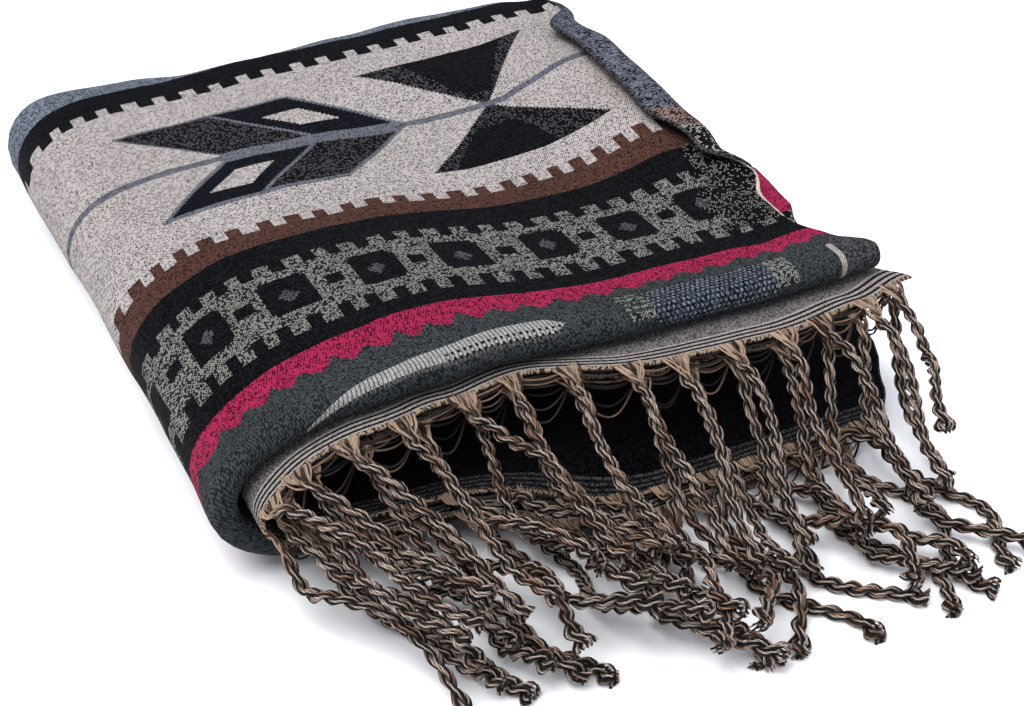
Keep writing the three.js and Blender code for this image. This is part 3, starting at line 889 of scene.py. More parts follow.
@dataclass(frozen=True)
class Arrows:
    """The arrows of the sand band: four slanted blocks each, two on each side of a line.

    The slant of a place is its distance past the arrow's middle plus its distance from the
    line, so a block lies between two slants. Sizes are in millimetres.

    Attributes:
        pitch: Distance between arrows.
        at: Where one of them lies.
        line: Half the width of the line.
        blocks: Distances from the line between which the blocks lie.
        rims: The same for the rim round the blocks.
        rim: Slants between which the rim lies.
        near: Slants of the blocks at the lower slants.
        beyond: Slants of the other two.
        holes: Slant of the middle of the hole above the line, and of the one below it.
        hole_half: Half the size of a hole by slant and by distance from the line.
        hole_side: Distance of a hole's middle from the line.
    """

    pitch: float = 330.0
    at: float = 110.0
    line: float = 2.8
    blocks: tuple[float, float] = (5.0, 46.5)
    rims: tuple[float, float] = (3.0, 49.0)
    rim: tuple[float, float] = (-22.0, 80.0)
    near: tuple[float, float] = (-19.0, 29.0)
    beyond: tuple[float, float] = (33.0, 77.0)
    holes: tuple[float, float] = (54.0, 5.0)
    hole_half: tuple[float, float] = (11.0, 9.0)
    hole_side: float = 25.0

    def paint(self, x: Signal, off: Signal, lay: Layer) -> None:
        """Lays the line and the arrows.

        Args:
            x: Place over the width.
            off: Place along the cloth, from the line.
            lay: Paints a yarn mix where a mask is one.
        """
        side, above = off.size(), off > 0.0
        lay(side < self.line, Ground.HAZE)
        slant = x.past_marks(self.pitch, self.at) + side
        lay(side.between(*self.rims) & slant.between(*self.rim), Ground.HAZE)
        reach = side.between(*self.blocks)
        near, beyond = slant.between(*self.near), slant.between(*self.beyond)
        lay(reach & (near | beyond), Ground.GRAIN)
        lay(reach & ((above & beyond) | (~above & near)), Ground.NAVY)
        for half, middle in zip((above, ~above), self.holes):
            hole = (slant - middle).size() < self.hole_half[0]
            hole = hole & ((side - self.hole_side).size() < self.hole_half[1])
            lay(hole & half, Ground.SAND)


@dataclass(frozen=True)
class Hourglasses:
    """The hourglasses of the sand band: two triangles each, tip to tip, in millimetres.

    Attributes:
        pitch: Distance between hourglasses.
        at: Where one of them lies.
        reach: Distances from the centre line between which the triangles lie.
        cores: For the black core above the line and the one below it, the slope of its left
            and right edge and the distance from the line where it starts.
    """

    pitch: float = 330.0
    at: float = 240.0
    reach: tuple[float, float] = (3.0, 56.0)
    cores: tuple[tuple[float, float, float], ...] = ((-0.55, 0.7, 12.0), (-0.8, 0.35, 22.0))

    def paint(self, x: Signal, off: Signal, lay: Layer) -> None:
        """Lays the hourglasses: each is as wide to both sides as the place is off the line.

        Args:
            x: Place over the width.
            off: Place along the cloth, from the centre line.
            lay: Paints a yarn mix where a mask is one.
        """
        side, above = off.size(), off > 0.0
        past = x.past_marks(self.pitch, self.at)
        inside = (past.size() < side) & side.between(*self.reach)
        lay(inside, Ground.GRAIN)
        for half, (left, right, start) in zip((above, ~above), self.cores):
            core = past.between(side * left, side * right) & (side > start)
            lay(inside & half & core, Ground.BLACK)


@dataclass(frozen=True)
class RollPatches:
    """The patches where the roll shows the middle of the cloth, in millimetres.

    Attributes:
        start: Where the spindle-shaped patch starts, over the width.
        middle: Place of its middle line along the cloth: at its start, far on, and the
            distance over which it settles.
        half: The same three for half its width.
        taper: Slope of its far end, and half its width at the start if it were straight.
        shaded: Share of half its width at which the painted shadow along its lower edge starts.
        rib: Pitch and width of its ribs.
        dots: Pitch and width of its dark dots across, then the same along.
        dots_from: Distance past its start where the dots begin.
        dots_until: Distance past its middle line where they end.
        barred: A patch of bars: its reach across and along.
        bars: Pitch and width of the bars.
        checked: A patch of small checks: its reach across and along.
        checks: Pitch and width of the checks across, then the same along, then the shift of
            each row.
        plain: Patches of one ground: their reach across and along, and the ground.
    """

    start: float = -41.0
    middle: tuple[float, float, float] = (-2.0, 9.2, 24.0)
    half: tuple[float, float, float] = (1.1, 7.7, 90.0)
    taper: tuple[float, float] = (-0.8, 103.0)
    shaded: float = -0.6
    rib: tuple[float, float] = (2.1, 0.7)
    dots: tuple[float, ...] = (3.2, 1.5, 2.6, 1.3)
    dots_from: float = 67.0
    dots_until: float = 0.5
    barred: tuple[float, ...] = (204.0, 217.0, 2.0, 22.0)
    bars: tuple[float, float] = (4.0, 2.0)
    checked: tuple[float, ...] = (217.0, 286.0, -1.0, 20.0)
    checks: tuple[float, ...] = (2.7, 1.5, 2.3, 1.4, 1.35)
    plain: tuple[tuple[tuple[float, ...], Ground], ...] = (
        ((286.0, 300.0, 2.0, 20.0), Ground.MOSS),
        ((325.0, 327.5, -8.0, 18.0), Ground.RIB),
        ((327.5, 360.0, -12.0, 24.0), Ground.SHADE),
    )

    @staticmethod
    def settled(past: Signal, values: tuple[float, float, float]) -> Signal:
        """A value that goes from a first to a last one, as the exponent of the distance falls."""
        first, last, reach = values
        return (past * (-1.0 / reach)).math("EXPONENT") * (first - last) + last

    @staticmethod
    def patch(x: Signal, y: Signal, reach: tuple[float, ...]) -> Signal:
        """One inside a rectangle, given by its reach across and along."""
        return x.between(*reach[:2]) & y.between(*reach[2:])

    def paint(self, u: Signal, v: Signal, x: Signal, y: Signal, lay: Layer) -> None:
        """Lays the spindle with a painted shadow along its lower edge, its ribs and its dots,
        and the other patches beside it.

        Args:
            u: Place over the width.
            v: Place along the cloth, from the roll.
            x: Place over the width from where the pattern starts, by steps.
            y: Place along the cloth, by steps.
            lay: Paints a yarn mix where a mask is one.
        """
        past = u - self.start
        half = self.settled(past, self.half).math("MINIMUM", past * self.taper[0] + self.taper[1])
        off = v - self.settled(past, self.middle)
        spindle = (past > 0.0) & (off.size() < half)
        lay(spindle, Ground.PEWTER)
        # Painted shadow: the spindle's lower edge is painted in the dim grey.
        lay(spindle & (off < (half * self.shaded)), Ground.SHADE)
        lay(spindle & (u.saw(self.rib[0]) < self.rib[1]), Ground.SEAM)
        pitch, width, row_pitch, row_width = self.dots
        dots = (u.saw(pitch) < width) & (v.saw(row_pitch) < row_width)
        lay(spindle & dots & (past > self.dots_from) & (off < self.dots_until), Ground.GAP)
        lay(self.patch(x, y, self.barred) & (y.saw(self.bars[0]) < self.bars[1]), Ground.MOSS)
        checked = self.patch(x, y, self.checked)
        lay(checked, Ground.LEAD)
        pitch, width, row_pitch, row_width, shift = self.checks
        shifted = u + v.cell(row_pitch) * shift
        lay(checked & (shifted.saw(pitch) < width) & (v.saw(row_pitch) < row_width), Ground.MIST)
        for reach, ground in self.plain:
            lay(self.patch(x, y, reach), ground)


@dataclass(frozen=True)
class Weave:
    """The cloth's weave: yarn pitch, and the places of the bands along the cloth.

    Places are in millimetres of cloth from the roll in the middle of its length. The pattern
    is the same the other way from the roll, as the cloth is woven in two mirrored halves.

    Attributes:
        cell: Size of one crossing of two yarns.
        pattern_start: Where the pattern starts over the width.
        scatter_share: Share of the even scatter in the mix of two yarns, beside a checker.
        checker_share: Share of the checker in the relief, beside the proud yarns.
        teeth: Pitch of the teeth, where one starts, the share that a tooth takes, its height.
        fine_teeth: The same for the teeth of the moss band.
        back_teeth: The same for those of the black band at the back.
        jags: Pitch of the red band's jags, where one lies, and their slope.
        jags_steep: Place over the width up to which they are steeper, and by how much.
        lozenge_drop: How far past the moss band's middle its lozenges lie.
        net: Reach of the worn net beside the selvedge, along the cloth.
        net_from: Place over the width from which it shows.
        net_edge: Its width, and how far its edge is scattered.
        selvedge_lines: Width of the plain selvedge, and of the thread beside the net.
        inside_from: Where the parts of the cloth that lie inside the fold start.
        hollow_shade_reach: Distance from the hem up to which they are painted black, as painted
        shade in the hollow; the hem's ribs there are painted dim grey, also as painted shade.
        hem_lines_reach: Distance from the hem up to which the raised lines lie.
        back_grounds: Grounds of the reverse, and where each one starts.
        back_red: Reach of the red patch of the reverse, and where it starts over the width.
        wear: Shares of chance and blotches, and what is taken off, in the reverse's mix.
        clouds: Pitch, detail and share of the wide unevenness of the colour.
        streaks: Squeeze over the width, pitch and share of its streaks.
        least_light: Light that the unevenness leaves at least.
        relief_light: Share of the light that follows the relief, and the light without it.
        salts: What sets the scatter of the two sides apart.
        rib_rise: How much prouder than the weave the hem's ribs are.
    """

    cell: float = 0.8
    step: float = 1.7
    relief: float = 0.00045
    pattern_start: float = -86.0
    scatter_share: float = 0.7
    checker_share: float = 0.8
    teeth: tuple[float, ...] = (14.7, 4.2, 0.5, 8.0)
    fine_teeth: tuple[float, ...] = (14.7, 3.0, 0.55, 7.0)
    back_teeth: tuple[float, ...] = (16.2, 1.0, 0.55, -9.0)
    red: tuple[float, float] = (30.0, 38.5)
    jags: tuple[float, float, float] = (16.17, 4.0, 0.62)
    jags_steep: tuple[float, float] = (150.0, 0.3)
    jags_low: float = 2.0
    moss: tuple[float, float] = (50.0, 100.0)
    lozenge_drop: float = 1.0
    brown: tuple[float, float] = (116.0, 131.0)
    centre_line: float = 213.0
    back_black: tuple[float, float] = (300.0, 316.5)
    far_grain: float = 352.0
    net: tuple[float, float] = (52.0, 118.0)
    net_from: float = 150.0
    net_edge: tuple[float, float] = (36.0, 16.0)
    selvedge_lines: tuple[float, float] = (1.2, 1.8)
    inside_from: float = 400.0
    hollow_shade_reach: float = 70.0
    hem_band: float = 40.0
    hem_thread: float = 1.5
    hem_lines_reach: float = 10.5
    hem_line_pitch: float = 2.6
    hem_line_gap: float = 1.2
    back_grounds: tuple[tuple[float, Ground], ...] = (
        (38.0, Ground.PEPPER),
        (118.0, Ground.BLUSH),
        (134.0, Ground.LIP),
    )
    back_red: tuple[float, ...] = (-116.0, -66.0, 236.0)
    wear: tuple[float, float, float] = (0.7, 0.6, 0.15)
    blotch: float = 5.0
    clouds: tuple[float, float, float] = (30.0, 4.0, 0.24)
    streaks: tuple[float, float, float] = (0.12, 1.3, 0.24)
    least_light: float = 0.76
    relief_light: tuple[float, float] = (0.5, 0.66)
    rib_rise: float = 1.6
    salts: tuple[float, float] = (3.0, 9.0)
    lozenges: Lozenges = Lozenges()
    arrows: Arrows = Arrows()
    hourglasses: Hourglasses = Hourglasses()
    patches: RollPatches = RollPatches()

    def zone(self, cloth: Cloth, ground: Ground, chance: Signal) -> bpy.types.NodeSocket:
        """The colour of one yarn mix, cell by cell."""
        mix = ground.value
        return cloth.paint(chance < mix.share, mix.dark, mix.light)

    def grain(self, cloth: Cloth, u: Signal, v: Signal, salt: float) -> Signal:
        """The mix of the two yarns: an even scatter over the cells, and a checker of them."""
        column, row = u.cell(self.cell), v.cell(self.cell)
        checker = ((column + row) * 0.5).math("FRACT") > 0.25
        scattered = cloth.chance(column, row, salt)
        return scattered * self.scatter_share + checker * (1.0 - self.scatter_share)

    def relief_of(self, x: Signal, y: Signal, chance: Signal) -> Signal:
        """The relief of crossing yarns: bumps in a checkered order, and a few proud yarns."""
        warp, weft = x.wave(self.cell * 2), y.wave(self.cell * 2)
        checker = (warp * weft) + (~warp * ~weft)
        return checker * self.checker_share + chance * (1.0 - self.checker_share)

    @staticmethod
    def notched(x: Signal, teeth: tuple[float, ...]) -> Signal:
        """The height of a row of square teeth over the width, from their four numbers."""
        pitch, start, share, height = teeth
        return (x.saw(pitch, start) < pitch * share) * height

    def face(self) -> bpy.types.Material:
        """The outer side of the cloth, with its bands, lozenges, arrows and hourglasses."""
        cloth = Cloth("woven_face", Finish())
        u, v = cloth.uv("Laid")
        selvedge, hem = cloth.uv("Edges")
        x, y = (u - self.pattern_start).snap(self.step), v.snap(self.step)
        chance = self.grain(cloth, u, v, self.salts[0])
        far = y.size()
        shown = self.zone(cloth, Ground.SLATE, chance)

        def lay(mask: Signal, ground: Ground) -> None:
            """Paints a yarn mix over what is there, where the mask is one."""
            nonlocal shown
            shown = cloth.paint(mask, shown, self.zone(cloth, ground, chance))

        pitch, at, slope = self.jags
        steep_until, steeper = self.jags_steep
        jag = x.from_marks(pitch, at) * ((x < steep_until) * steeper + slope)
        lay(far.between(jag * -1.0 + self.red[0] + self.jags_low, self.red[1]), Ground.RED)
        lay(far.between(self.red[1], self.brown[0]), Ground.BLACK)
        low, high = self.moss
        tooth = self.notched(x, self.fine_teeth)
        height = self.fine_teeth[-1]
        lay(far.between(tooth * -1.0 + low + height, tooth + high - height), Ground.MOSS)
        self.lozenges.paint(x, (far - (low + high) / 2 - self.lozenge_drop).size(), lay)
        lay(far > self.brown[0], Ground.BROWN)
        lay(far > self.notched(x, self.teeth) + self.brown[1], Ground.SAND)
        self.arrows.paint(x, far - self.centre_line, lay)
        self.hourglasses.paint(x, far - self.centre_line, lay)
        back_low, back_high = self.back_black
        lay(far > self.notched(x, self.back_teeth) + back_low, Ground.BLACK)
        lay(far > back_high, Ground.MIST)
        lay(far > self.far_grain, Ground.GRAIN)
        self.patches.paint(u, v, x, y, lay)
        self.hem_lines(hem, lay)
        worn = (u > self.net_from) & far.between(*self.net)
        width, ragged = self.net_edge
        plain_line, thread_line = self.selvedge_lines
        lay(worn & ((selvedge + chance * ragged) < width), Ground.NET)
        lay(worn & (selvedge < thread_line), Ground.THREAD)
        # Painted shade: inside the fold the hollow is painted black beside the hem, and the hem's ribs
        # there are painted dim grey instead of their own light colour.
        inside = v > self.inside_from
        lay(inside & hem.between(self.hem_lines_reach, self.hollow_shade_reach), Ground.BLACK)
        lay(inside & self.hem_ribs(hem), Ground.SHADE)
        lay(~worn & (selvedge < plain_line), Ground.SHADE)
        return self.dressed(cloth, shown, u, v, chance, hem)

    def hem_lines(self, hem: Signal, lay: Layer) -> None:
        """The grey hem, with light raised lines beside its edge and a cream thread along it.

        Args:
            hem: Distance from the hem.
            lay: Paints a yarn mix where a mask is one.
        """
        lay(hem < self.hem_band, Ground.HEM)
        lay(hem < self.hem_lines_reach, Ground.GAP)
        lay(self.hem_ribs(hem), Ground.RIB)
        lay(hem < self.hem_thread, Ground.CREAM)

    def hem_ribs(self, hem: Signal) -> Signal:
        """One on the raised lines beside the hem: past the gap at the start of each pitch."""
        past = hem.saw(self.hem_line_pitch) > self.hem_line_gap
        return (hem < self.hem_lines_reach) & past

    def reverse(self) -> bpy.types.Material:
        """The inner side, where the pattern shows in the other yarns."""
        cloth = Cloth("woven_reverse", Finish())
        u, v = cloth.uv("Laid")
        selvedge, hem = cloth.uv("Edges")
        chance = self.grain(cloth, u, v, self.salts[1])
        chance_share, blotch_share, less = self.wear
        worn = chance * chance_share + cloth.cloud(u, v, self.blotch) * blotch_share - less
        place = v.snap(self.cell)
        shown = self.zone(cloth, Ground.SLATE, worn)

        def lay(mask: Signal, ground: Ground) -> None:
            """Paints a yarn mix over what is there, where the mask is one."""
            nonlocal shown
            shown = cloth.paint(mask, shown, self.zone(cloth, ground, worn))

        for start, ground in self.back_grounds:
            lay(place.size() > start, ground)
        low, high, across = self.back_red
        lay((u > across) & place.between(low, high), Ground.RED)
        self.hem_lines(hem, lay)
        lay(selvedge < self.selvedge_lines[0], Ground.SHADE)
        return self.dressed(cloth, shown, u, v, chance, hem)

    def dressed(
        self,
        cloth: Cloth,
        colour: bpy.types.NodeSocket,
        u: Signal,
        v: Signal,
        chance: Signal,
        hem: Signal,
    ) -> bpy.types.Material:
        """Adds the shade between yarns, a little unevenness and the relief to a colour."""
        relief = self.relief_of(u, v, chance)
        pitch, detail, share = self.clouds
        uneven = cloth.cloud(u, v, pitch, detail) * share + self.least_light
        squeeze, pitch, share = self.streaks
        uneven = uneven + cloth.cloud(u * squeeze, v, pitch) * share
        following, rest = self.relief_light
        colour = cloth.shade(colour, (relief * following + rest) * uneven)
        return cloth.finish(colour, relief + self.hem_ribs(hem) * self.rib_rise, self.relief)


@dataclass(frozen=True)
class FringeYarn:
    """The twisted yarn: dark, brown, tan and cream strands with their fibres round them.

    A strand's tone, from 0 to 1, chooses its colour.

    Attributes:
        dark: Colour of the strands with the lowest tones.
        lighter: The other colours, each with the tone that it starts at.
        flecked_from: Tone from which strands have dark flecks.
        fleck: Share of a strand's turn that is dark, and its colour.
        turns: Turns of the flecks for each millimetre along the yarn and round it, and for
            its tone.
        root_from: Tone from which strands are pale at the root.
        root_colours: Colours at the root below that tone and above it.
        fibre: Fibres for each millimetre round the yarn and along it.
        fluff: Squeeze, pitch and detail of the unevenness along a yarn.
        light: Light that fibres and fluff add, and the light without them.
        rise: Relief of fibres and of fluff.
    """

    dark: COLOUR = srgb(14, 11, 12)
    lighter: tuple[tuple[float, COLOUR], ...] = (
        (0.34, srgb(46, 32, 28)),
        (0.48, srgb(192, 147, 121)),
        (0.60, srgb(244, 217, 197)),
    )
    flecked_from: float = 0.48
    fleck: tuple[float, COLOUR] = (0.34, srgb(22, 16, 15))
    turns: tuple[float, float, float] = (0.3, 0.5, 10.0)
    root_from: float = 0.24
    root_colours: tuple[COLOUR, COLOUR] = (srgb(84, 61, 50), srgb(222, 187, 157))
    fibre: tuple[float, float] = (3.0, 2.2)
    fluff: tuple[float, float, float] = (2.0, 0.9, 3.0)
    light: tuple[float, float, float] = (0.3, 0.7, 0.5)
    rise: tuple[float, float] = (0.7, 0.5)
    relief: float = 0.00025

    def material(self) -> bpy.types.Material:
        """Builds the yarn's material from its mesh's tone, root and painted groove shade numbers."""
        cloth = Cloth("twisted_yarn", Finish(roughness=0.75, specular=0.2, sheen=0.05))
        around, along = cloth.uv("Laid")
        tone = cloth.value("tone")
        shown = self.dark
        for start, colour in self.lighter:
            shown = cloth.paint(tone > start, shown, colour)
        by_length, by_width, by_tone = self.turns
        turn = (along * by_length + around * by_width + tone * by_tone).math("FRACT")
        share, colour = self.fleck
        shown = cloth.paint((turn < share) & (tone > self.flecked_from), shown, colour)
        pale = cloth.paint(tone > self.root_from, *self.root_colours)
        shown = cloth.paint(cloth.value("root"), shown, pale)
        fibres = (around * self.fibre[0] + along * self.fibre[1]).wave(1.0)
        squeeze, pitch, detail = self.fluff
        fluff = cloth.cloud(around * squeeze, along, pitch, detail)
        fibre_light, fluff_light, rest = self.light
        lit = fibres * fibre_light + fluff * fluff_light + rest
        # Painted shade: the colour is darkened in the grooves between the plies, by the mesh's groove
        # numbers.
        shown = cloth.shade(shown, lit * cloth.value("groove_shade"))
        fibre_rise, fluff_rise = self.rise
        return cloth.finish(shown, fibres * fibre_rise + fluff * fluff_rise, self.relief)


@dataclass
class ShawlCloth:
    """The sheet of cloth, carried through the packet as one closed surface.

    Attributes:
        steps: How finely each run and fold of the section is cut.
        zone_steps: How finely each zone of the width is cut.
        edge_stations: Extra places over the width, beside the selvedges.
        hem_softness: Distance over which the cloth gets thinner towards its edges.
        edge_share: Share of the thickness that is left at the very edge.
        waves: Height, pitch and two offsets of each soft noise that makes the cloth uneven.
        waves_from: Place over the width up to which the cloth lies flat on the floor.
        waves_over: Share of the width over which the waves set in.
    """

    packet: Packet
    origin: Origin
    lay: Lay = Lay()
    name: str = "woven_cloth"
    steps: dict[str, int] = field(
        default_factory=lambda: {"outer": 76, "inner": 24, "back": 12, "roll": 16, "nested": 8}
    )
    zone_steps: tuple[int, int, int, int] = (26, 34, 60, 24)
    edge_stations: tuple[float, ...] = (0.001, 0.0025, 0.9975, 0.999, 1.0)
    hem_softness: float = 0.0016
    edge_share: float = 0.35
    waves: tuple[tuple[float, ...], ...] = ((0.0010, 0.048, 3, 5), (0.0005, 0.019, 9, 2))
    waves_from: float = 0.42
    waves_over: float = 0.1

    def stations(self) -> np.ndarray:
        """Places over the width, closer together beside the two selvedges."""
        marks = self.packet.zone_marks
        parts = [
            np.linspace(start, end, count, endpoint=False)
            for start, end, count in zip(marks, marks[1:], self.zone_steps)
        ]
        return np.unique(np.concatenate([*parts, self.edge_stations]))

    def unevenness(self, flat: np.ndarray, along: np.ndarray, across: np.ndarray) -> np.ndarray:
        """Small waves of the cloth: a sum of soft noises, none where it lies on the floor."""
        wave = np.zeros(flat.shape)
        for salt, (height, pitch, over, on) in enumerate(self.waves, start=1):
            wave = wave + height * soft_noise(flat + over, along + on, pitch, salt)
        return wave * ease((across - self.waves_from) / self.waves_over)

    @staticmethod
    def faces(rows: int, columns: int) -> tuple[np.ndarray, np.ndarray]:
        """The faces of the closed surface, and which of its two materials each one has.

        The rows of one side come first and those of the other follow in reverse, so that the
        next row is always the neighbour, round both hems. Two strips close the selvedges.

        Args:
            rows: Rows of the section.
            columns: Stations over the width.

        Returns:
            Faces of four corners, seen from outside, and a material number for each.
        """
        index = np.arange(2 * rows * columns).reshape(2 * rows, columns)
        below, above = index, np.roll(index, -1, axis=0)
        quads = np.stack([below[:, 1:], above[:, 1:], above[:, :-1], below[:, :-1]], axis=-1)
        one, other = index[:rows], index[rows:][::-1]
        ends = [
            np.stack([far[1:, end], far[:-1, end], near[:-1, end], near[1:, end]], axis=-1)
            for end, near, far in ((0, one, other), (-1, other, one))
        ]
        side = np.zeros((2 * rows, columns - 1), np.int32)
        side[rows - 1 :] = 1
        slots = np.concatenate([side.ravel(), np.zeros(2 * (rows - 1), np.int32)])
        return np.concatenate([quads.reshape(-1, 4), *ends]), slots

    def build(self, weave: Weave) -> bpy.types.Object:
        """Makes the mesh and dresses it.

        The cloth's middle is a grid of section rows by width stations. Half the thickness is
        added along the section's own normal for one side and taken off for the other, and the
        two sides are joined round the hems and the selvedges.

        Args:
            weave: The weave that makes its two materials.

        Returns:
            The finished piece.
        """
        packet, across = self.packet, self.stations()
        spots, turn = packet.section(across, self.steps)
        run = np.hypot(np.diff(spots.y, axis=0), np.diff(spots.rise, axis=0))
        length = np.concatenate([np.zeros((1, len(across))), np.cumsum(run, axis=0)])
        along = length[turn] - length
        hem = np.minimum(length, length[-1] - length)
        flat = packet.width_places(across, spots)
        pattern = self.lay.pattern_place(flat, along)
        selvedge = np.minimum(flat - flat[:, :1], flat[:, -1:] - flat)
        bumpy = replace(spots, rise=spots.rise + self.unevenness(flat, along, across))
        slope_y = np.gradient(bumpy.y, axis=0)
        slope_rise = np.gradient(bumpy.rise, axis=0)
        step = np.hypot(slope_y, slope_rise)
        soft = np.minimum(hem, selvedge) / self.hem_softness
        half = packet.thickness / 2 * blend(self.edge_share, 1.0, np.sqrt(np.clip(soft, 0, 1)))
        sides = []
        for sign in (1, -1):
            moved = replace(bumpy, y=bumpy.y - sign * half * slope_rise / step)
            sides.append(packet.place(across, moved, bumpy.rise + sign * half * slope_y / step))
        rows, columns = flat.shape
        grid = np.concatenate([sides[0], sides[1][::-1]])
        points = grid.reshape(-1, 3) + np.array(self.origin.offset)
        faces, slots = self.faces(rows, columns)
        piece = make_mesh(self.name, points, faces, NO_CAPS)
        for layer, pair in (("Laid", (flat, pattern)), ("Edges", (selvedge, hem))):
            around = [np.concatenate([values, values[::-1]]).ravel() for values in pair]
            add_uv(piece, layer, np.stack(around, axis=-1))
        piece.data.materials.append(weave.reverse())
        piece.data.materials.append(weave.face())
        piece.data.polygons.foreach_set("material_index", slots)
        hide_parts("shawl_cloth")
        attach(piece, "root")
        LOG.info("%s: %d faces", piece.name, len(faces))
        return piece


@dataclass
class Tassel:
    """One tassel: where it leaves its hem, and the line that it lies along."""

    end: str
    index: int
    across: float
    root: np.ndarray
    side: np.ndarray
    line: np.ndarray | None = None


@dataclass
class TasselPile:
    """All tassels, laid one on another from the lowest hem up, on a grid of heights.

    Attributes:
        reach: Low and high corner of the grid, from the stack's corner.
        slope: How steeply a tassel may sink after what it lies on.
        stagger: Share of a place that each end's tassels are moved along the hem.
        jitter: Share of a place that a root is scattered by.
        root_out: Share of the strip by which a root lies in front of the cloth's edge.
        leg_cell: Steps over the width at which the lower leg's front is put on the grid.
        ways: Over the width, how a tassel leans, falls and sways.
        sway_pitch: Distance in which the sway turns by one radian.
        fall_least: Distance that the shortest fall takes.
        fall_power: Power of the share left, which makes the fall soft at its end.
        lifted: Least rise over the free line that counts as lying on something.
        fine_share: Step of the places at which a laid tassel raises the grid.
        longest_reach: How far out its free line is followed, as a share of its length.
    """

    packet: Packet
    per_end: int = 28
    length: float = 0.116
    stations: int = 13
    cord: float = 0.0054
    root_width: float = 0.012
    root_thickness: float = 0.002
    root_reach: float = 0.015
    strip_width: float = 0.007
    tuft_width: float = 0.008
    tuft_length: float = 0.014
    cell: float = 0.001
    clearance: float = 0.0006
    slope: float = 0.45
    step: float = 0.0015
    reach: tuple[float, float, float, float] = (-0.10, -0.25, 0.56, 0.10)
    stagger: dict[str, float] = field(default_factory=lambda: {"end_a": 0.35, "end_b": 0.6})
    jitter: float = 0.2
    root_out: float = 0.65
    leg_cell: float = 0.005
    leg_depth: float = 0.07
    leg_reach: float = 0.003
    lean_scatter: float = 0.3
    lean_start: float = 0.005
    sway_start: float = 0.022
    sway_pitch: float = 0.013
    fall_gap: float = 0.003
    fall_least: float = 0.010
    fall_scatter: float = 0.008
    fall_power: float = 1.3
    lifted: float = 0.00005
    fine_share: float = 0.125
    longest_reach: float = 1.2
    ways: Table = Table(
        (0.0, 0.1, 0.18, 0.32, 0.5, 0.62, 0.75, 0.9, 1.0),
        {
            "lean": (0.15, 0.5, 0.0, 0.3, 0.62, 0.3, 0.0, -0.15, -0.3),
            "drop": (0.9, 0.9, 0.9, 0.9, 1.0, 1.25, 1.25, 1.05, 0.7),
            "sway": mm(15, 17, 18, 14, 5, 4, 4, 4, 5),
        },
    )

    def __post_init__(self) -> None:
        """Starts the grid of heights with the lower leg's front."""
        left, front, right, back = self.reach
        shape = (round((right - left) / self.cell) + 1, round((back - front) / self.cell) + 1)
        self.heights = np.zeros(shape)
        steps = np.arange(0.0, self.packet.bend_from, self.leg_cell)
        edge = self.packet.outline.read("end_b", steps)
        for inward in np.arange(0.0, self.leg_depth, self.cell):
            for x, y, z in self.on_layer("end_b", steps, edge + inward):
                self.raise_to(x, y, self.leg_reach, z + self.packet.thickness)

    def on_layer(self, end: str, across: np.ndarray, y: np.ndarray) -> np.ndarray:
        """Points in the middle of a fringed layer, at its very front."""
        spots = self.packet.layer(end, np.zeros((1, 1)), y[None, :], across)
        return self.packet.place(across, spots, spots.rise)[0]

    def window(self, x: float, y: float, reach: float) -> tuple[slice, slice, np.ndarray]:
        """The grid's cells within reach of a point, as a window and a round mask."""
        steps = math.ceil(reach / self.cell)
        column = math.floor((x - self.reach[0]) / self.cell + 0.5)
        row = math.floor((y - self.reach[1]) / self.cell + 0.5)
        off = np.arange(-steps, steps + 1) * self.cell
        mask = np.hypot(off[:, None], off[None, :]) <= reach
        columns, rows = (slice(at - steps, at + steps + 1) for at in (column, row))
        return columns, rows, mask

    def height_at(self, x: float, y: float, reach: float) -> float:
        """The highest cell within reach of a point."""
        columns, rows, mask = self.window(x, y, reach)
        return float(np.max(self.heights[columns, rows] * mask))

    def raise_to(self, x: float, y: float, reach: float, top: float) -> None:
        """Raises each cell within reach of a point to a height, if it is lower."""
        columns, rows, mask = self.window(x, y, reach)
        part = self.heights[columns, rows]
        np.maximum(part, mask * top, out=part)

    def roots(self) -> list[Tassel]:
        """Where each tassel leaves its hem, lowest first."""
        tassels = []
        for end in ("end_a", "end_b"):
            for place in range(self.per_end):
                index = len(tassels)
                jitter = self.jitter * (float(scatter(index, 1)) - 0.5)
                across = (place + self.stagger[end] + jitter) / self.per_end
                y = self.packet.outline.read(end, np.array([across]))
                y = y - self.root_out * self.strip_width
                near, beside = (
                    self.on_layer(end, np.array([min(max(at, 0.0), 1.0)]), y)[0]
                    for at in (across, across + NEARBY)
                )
                side = (beside - near) * np.array([1.0, 0.0, 1.0])
                side = unit(side) * (-1.0 if side[0] < 0 else 1.0)
                tassels.append(Tassel(end, index, across, near, side))
        return sorted(tassels, key=lambda tassel: tassel.root[2])

    def way(self, tassel: Tassel, out: np.ndarray) -> np.ndarray:
        """The free line of a tassel: it leans and wanders, and falls to the floor.

        Args:
            tassel: The tassel.
            out: Distances to the front from its root.

        Returns:
            Points, one for each distance.
        """
        lean, drop, sway = (
            float(self.ways.read(name, np.array([tassel.across]))[0])
            for name in ("lean", "drop", "sway")
        )
        lean_chance, turn, phase, far_chance = (
            float(scatter(tassel.index, salt)) for salt in (2, 3, 4, 5)
        )
        lean += self.lean_scatter * (lean_chance - 0.5)
        turn, phase = turn - 0.5, 6 * phase
        wave = sway * (turn + 0.5 * math.copysign(1, turn))
        leaning = lean * (out - self.lean_start * (1 - np.exp(-out / self.lean_start)))
        loose = 1 - np.exp(-out / self.sway_start)
        x = tassel.root[0] + leaning
        x = x + wave * loose * (np.sin(out / self.sway_pitch + phase) - math.sin(phase))
        fall = tassel.root[2] - self.cord / 2
        far = self.fall_least + drop * fall + self.fall_scatter * (far_chance - 0.5)
        left = 1 - np.clip((out - self.fall_gap) / far, 0, 1)
        z = self.cord / 2 + fall * left**self.fall_power
        return np.stack([x, tassel.root[1] - out, z], axis=-1)

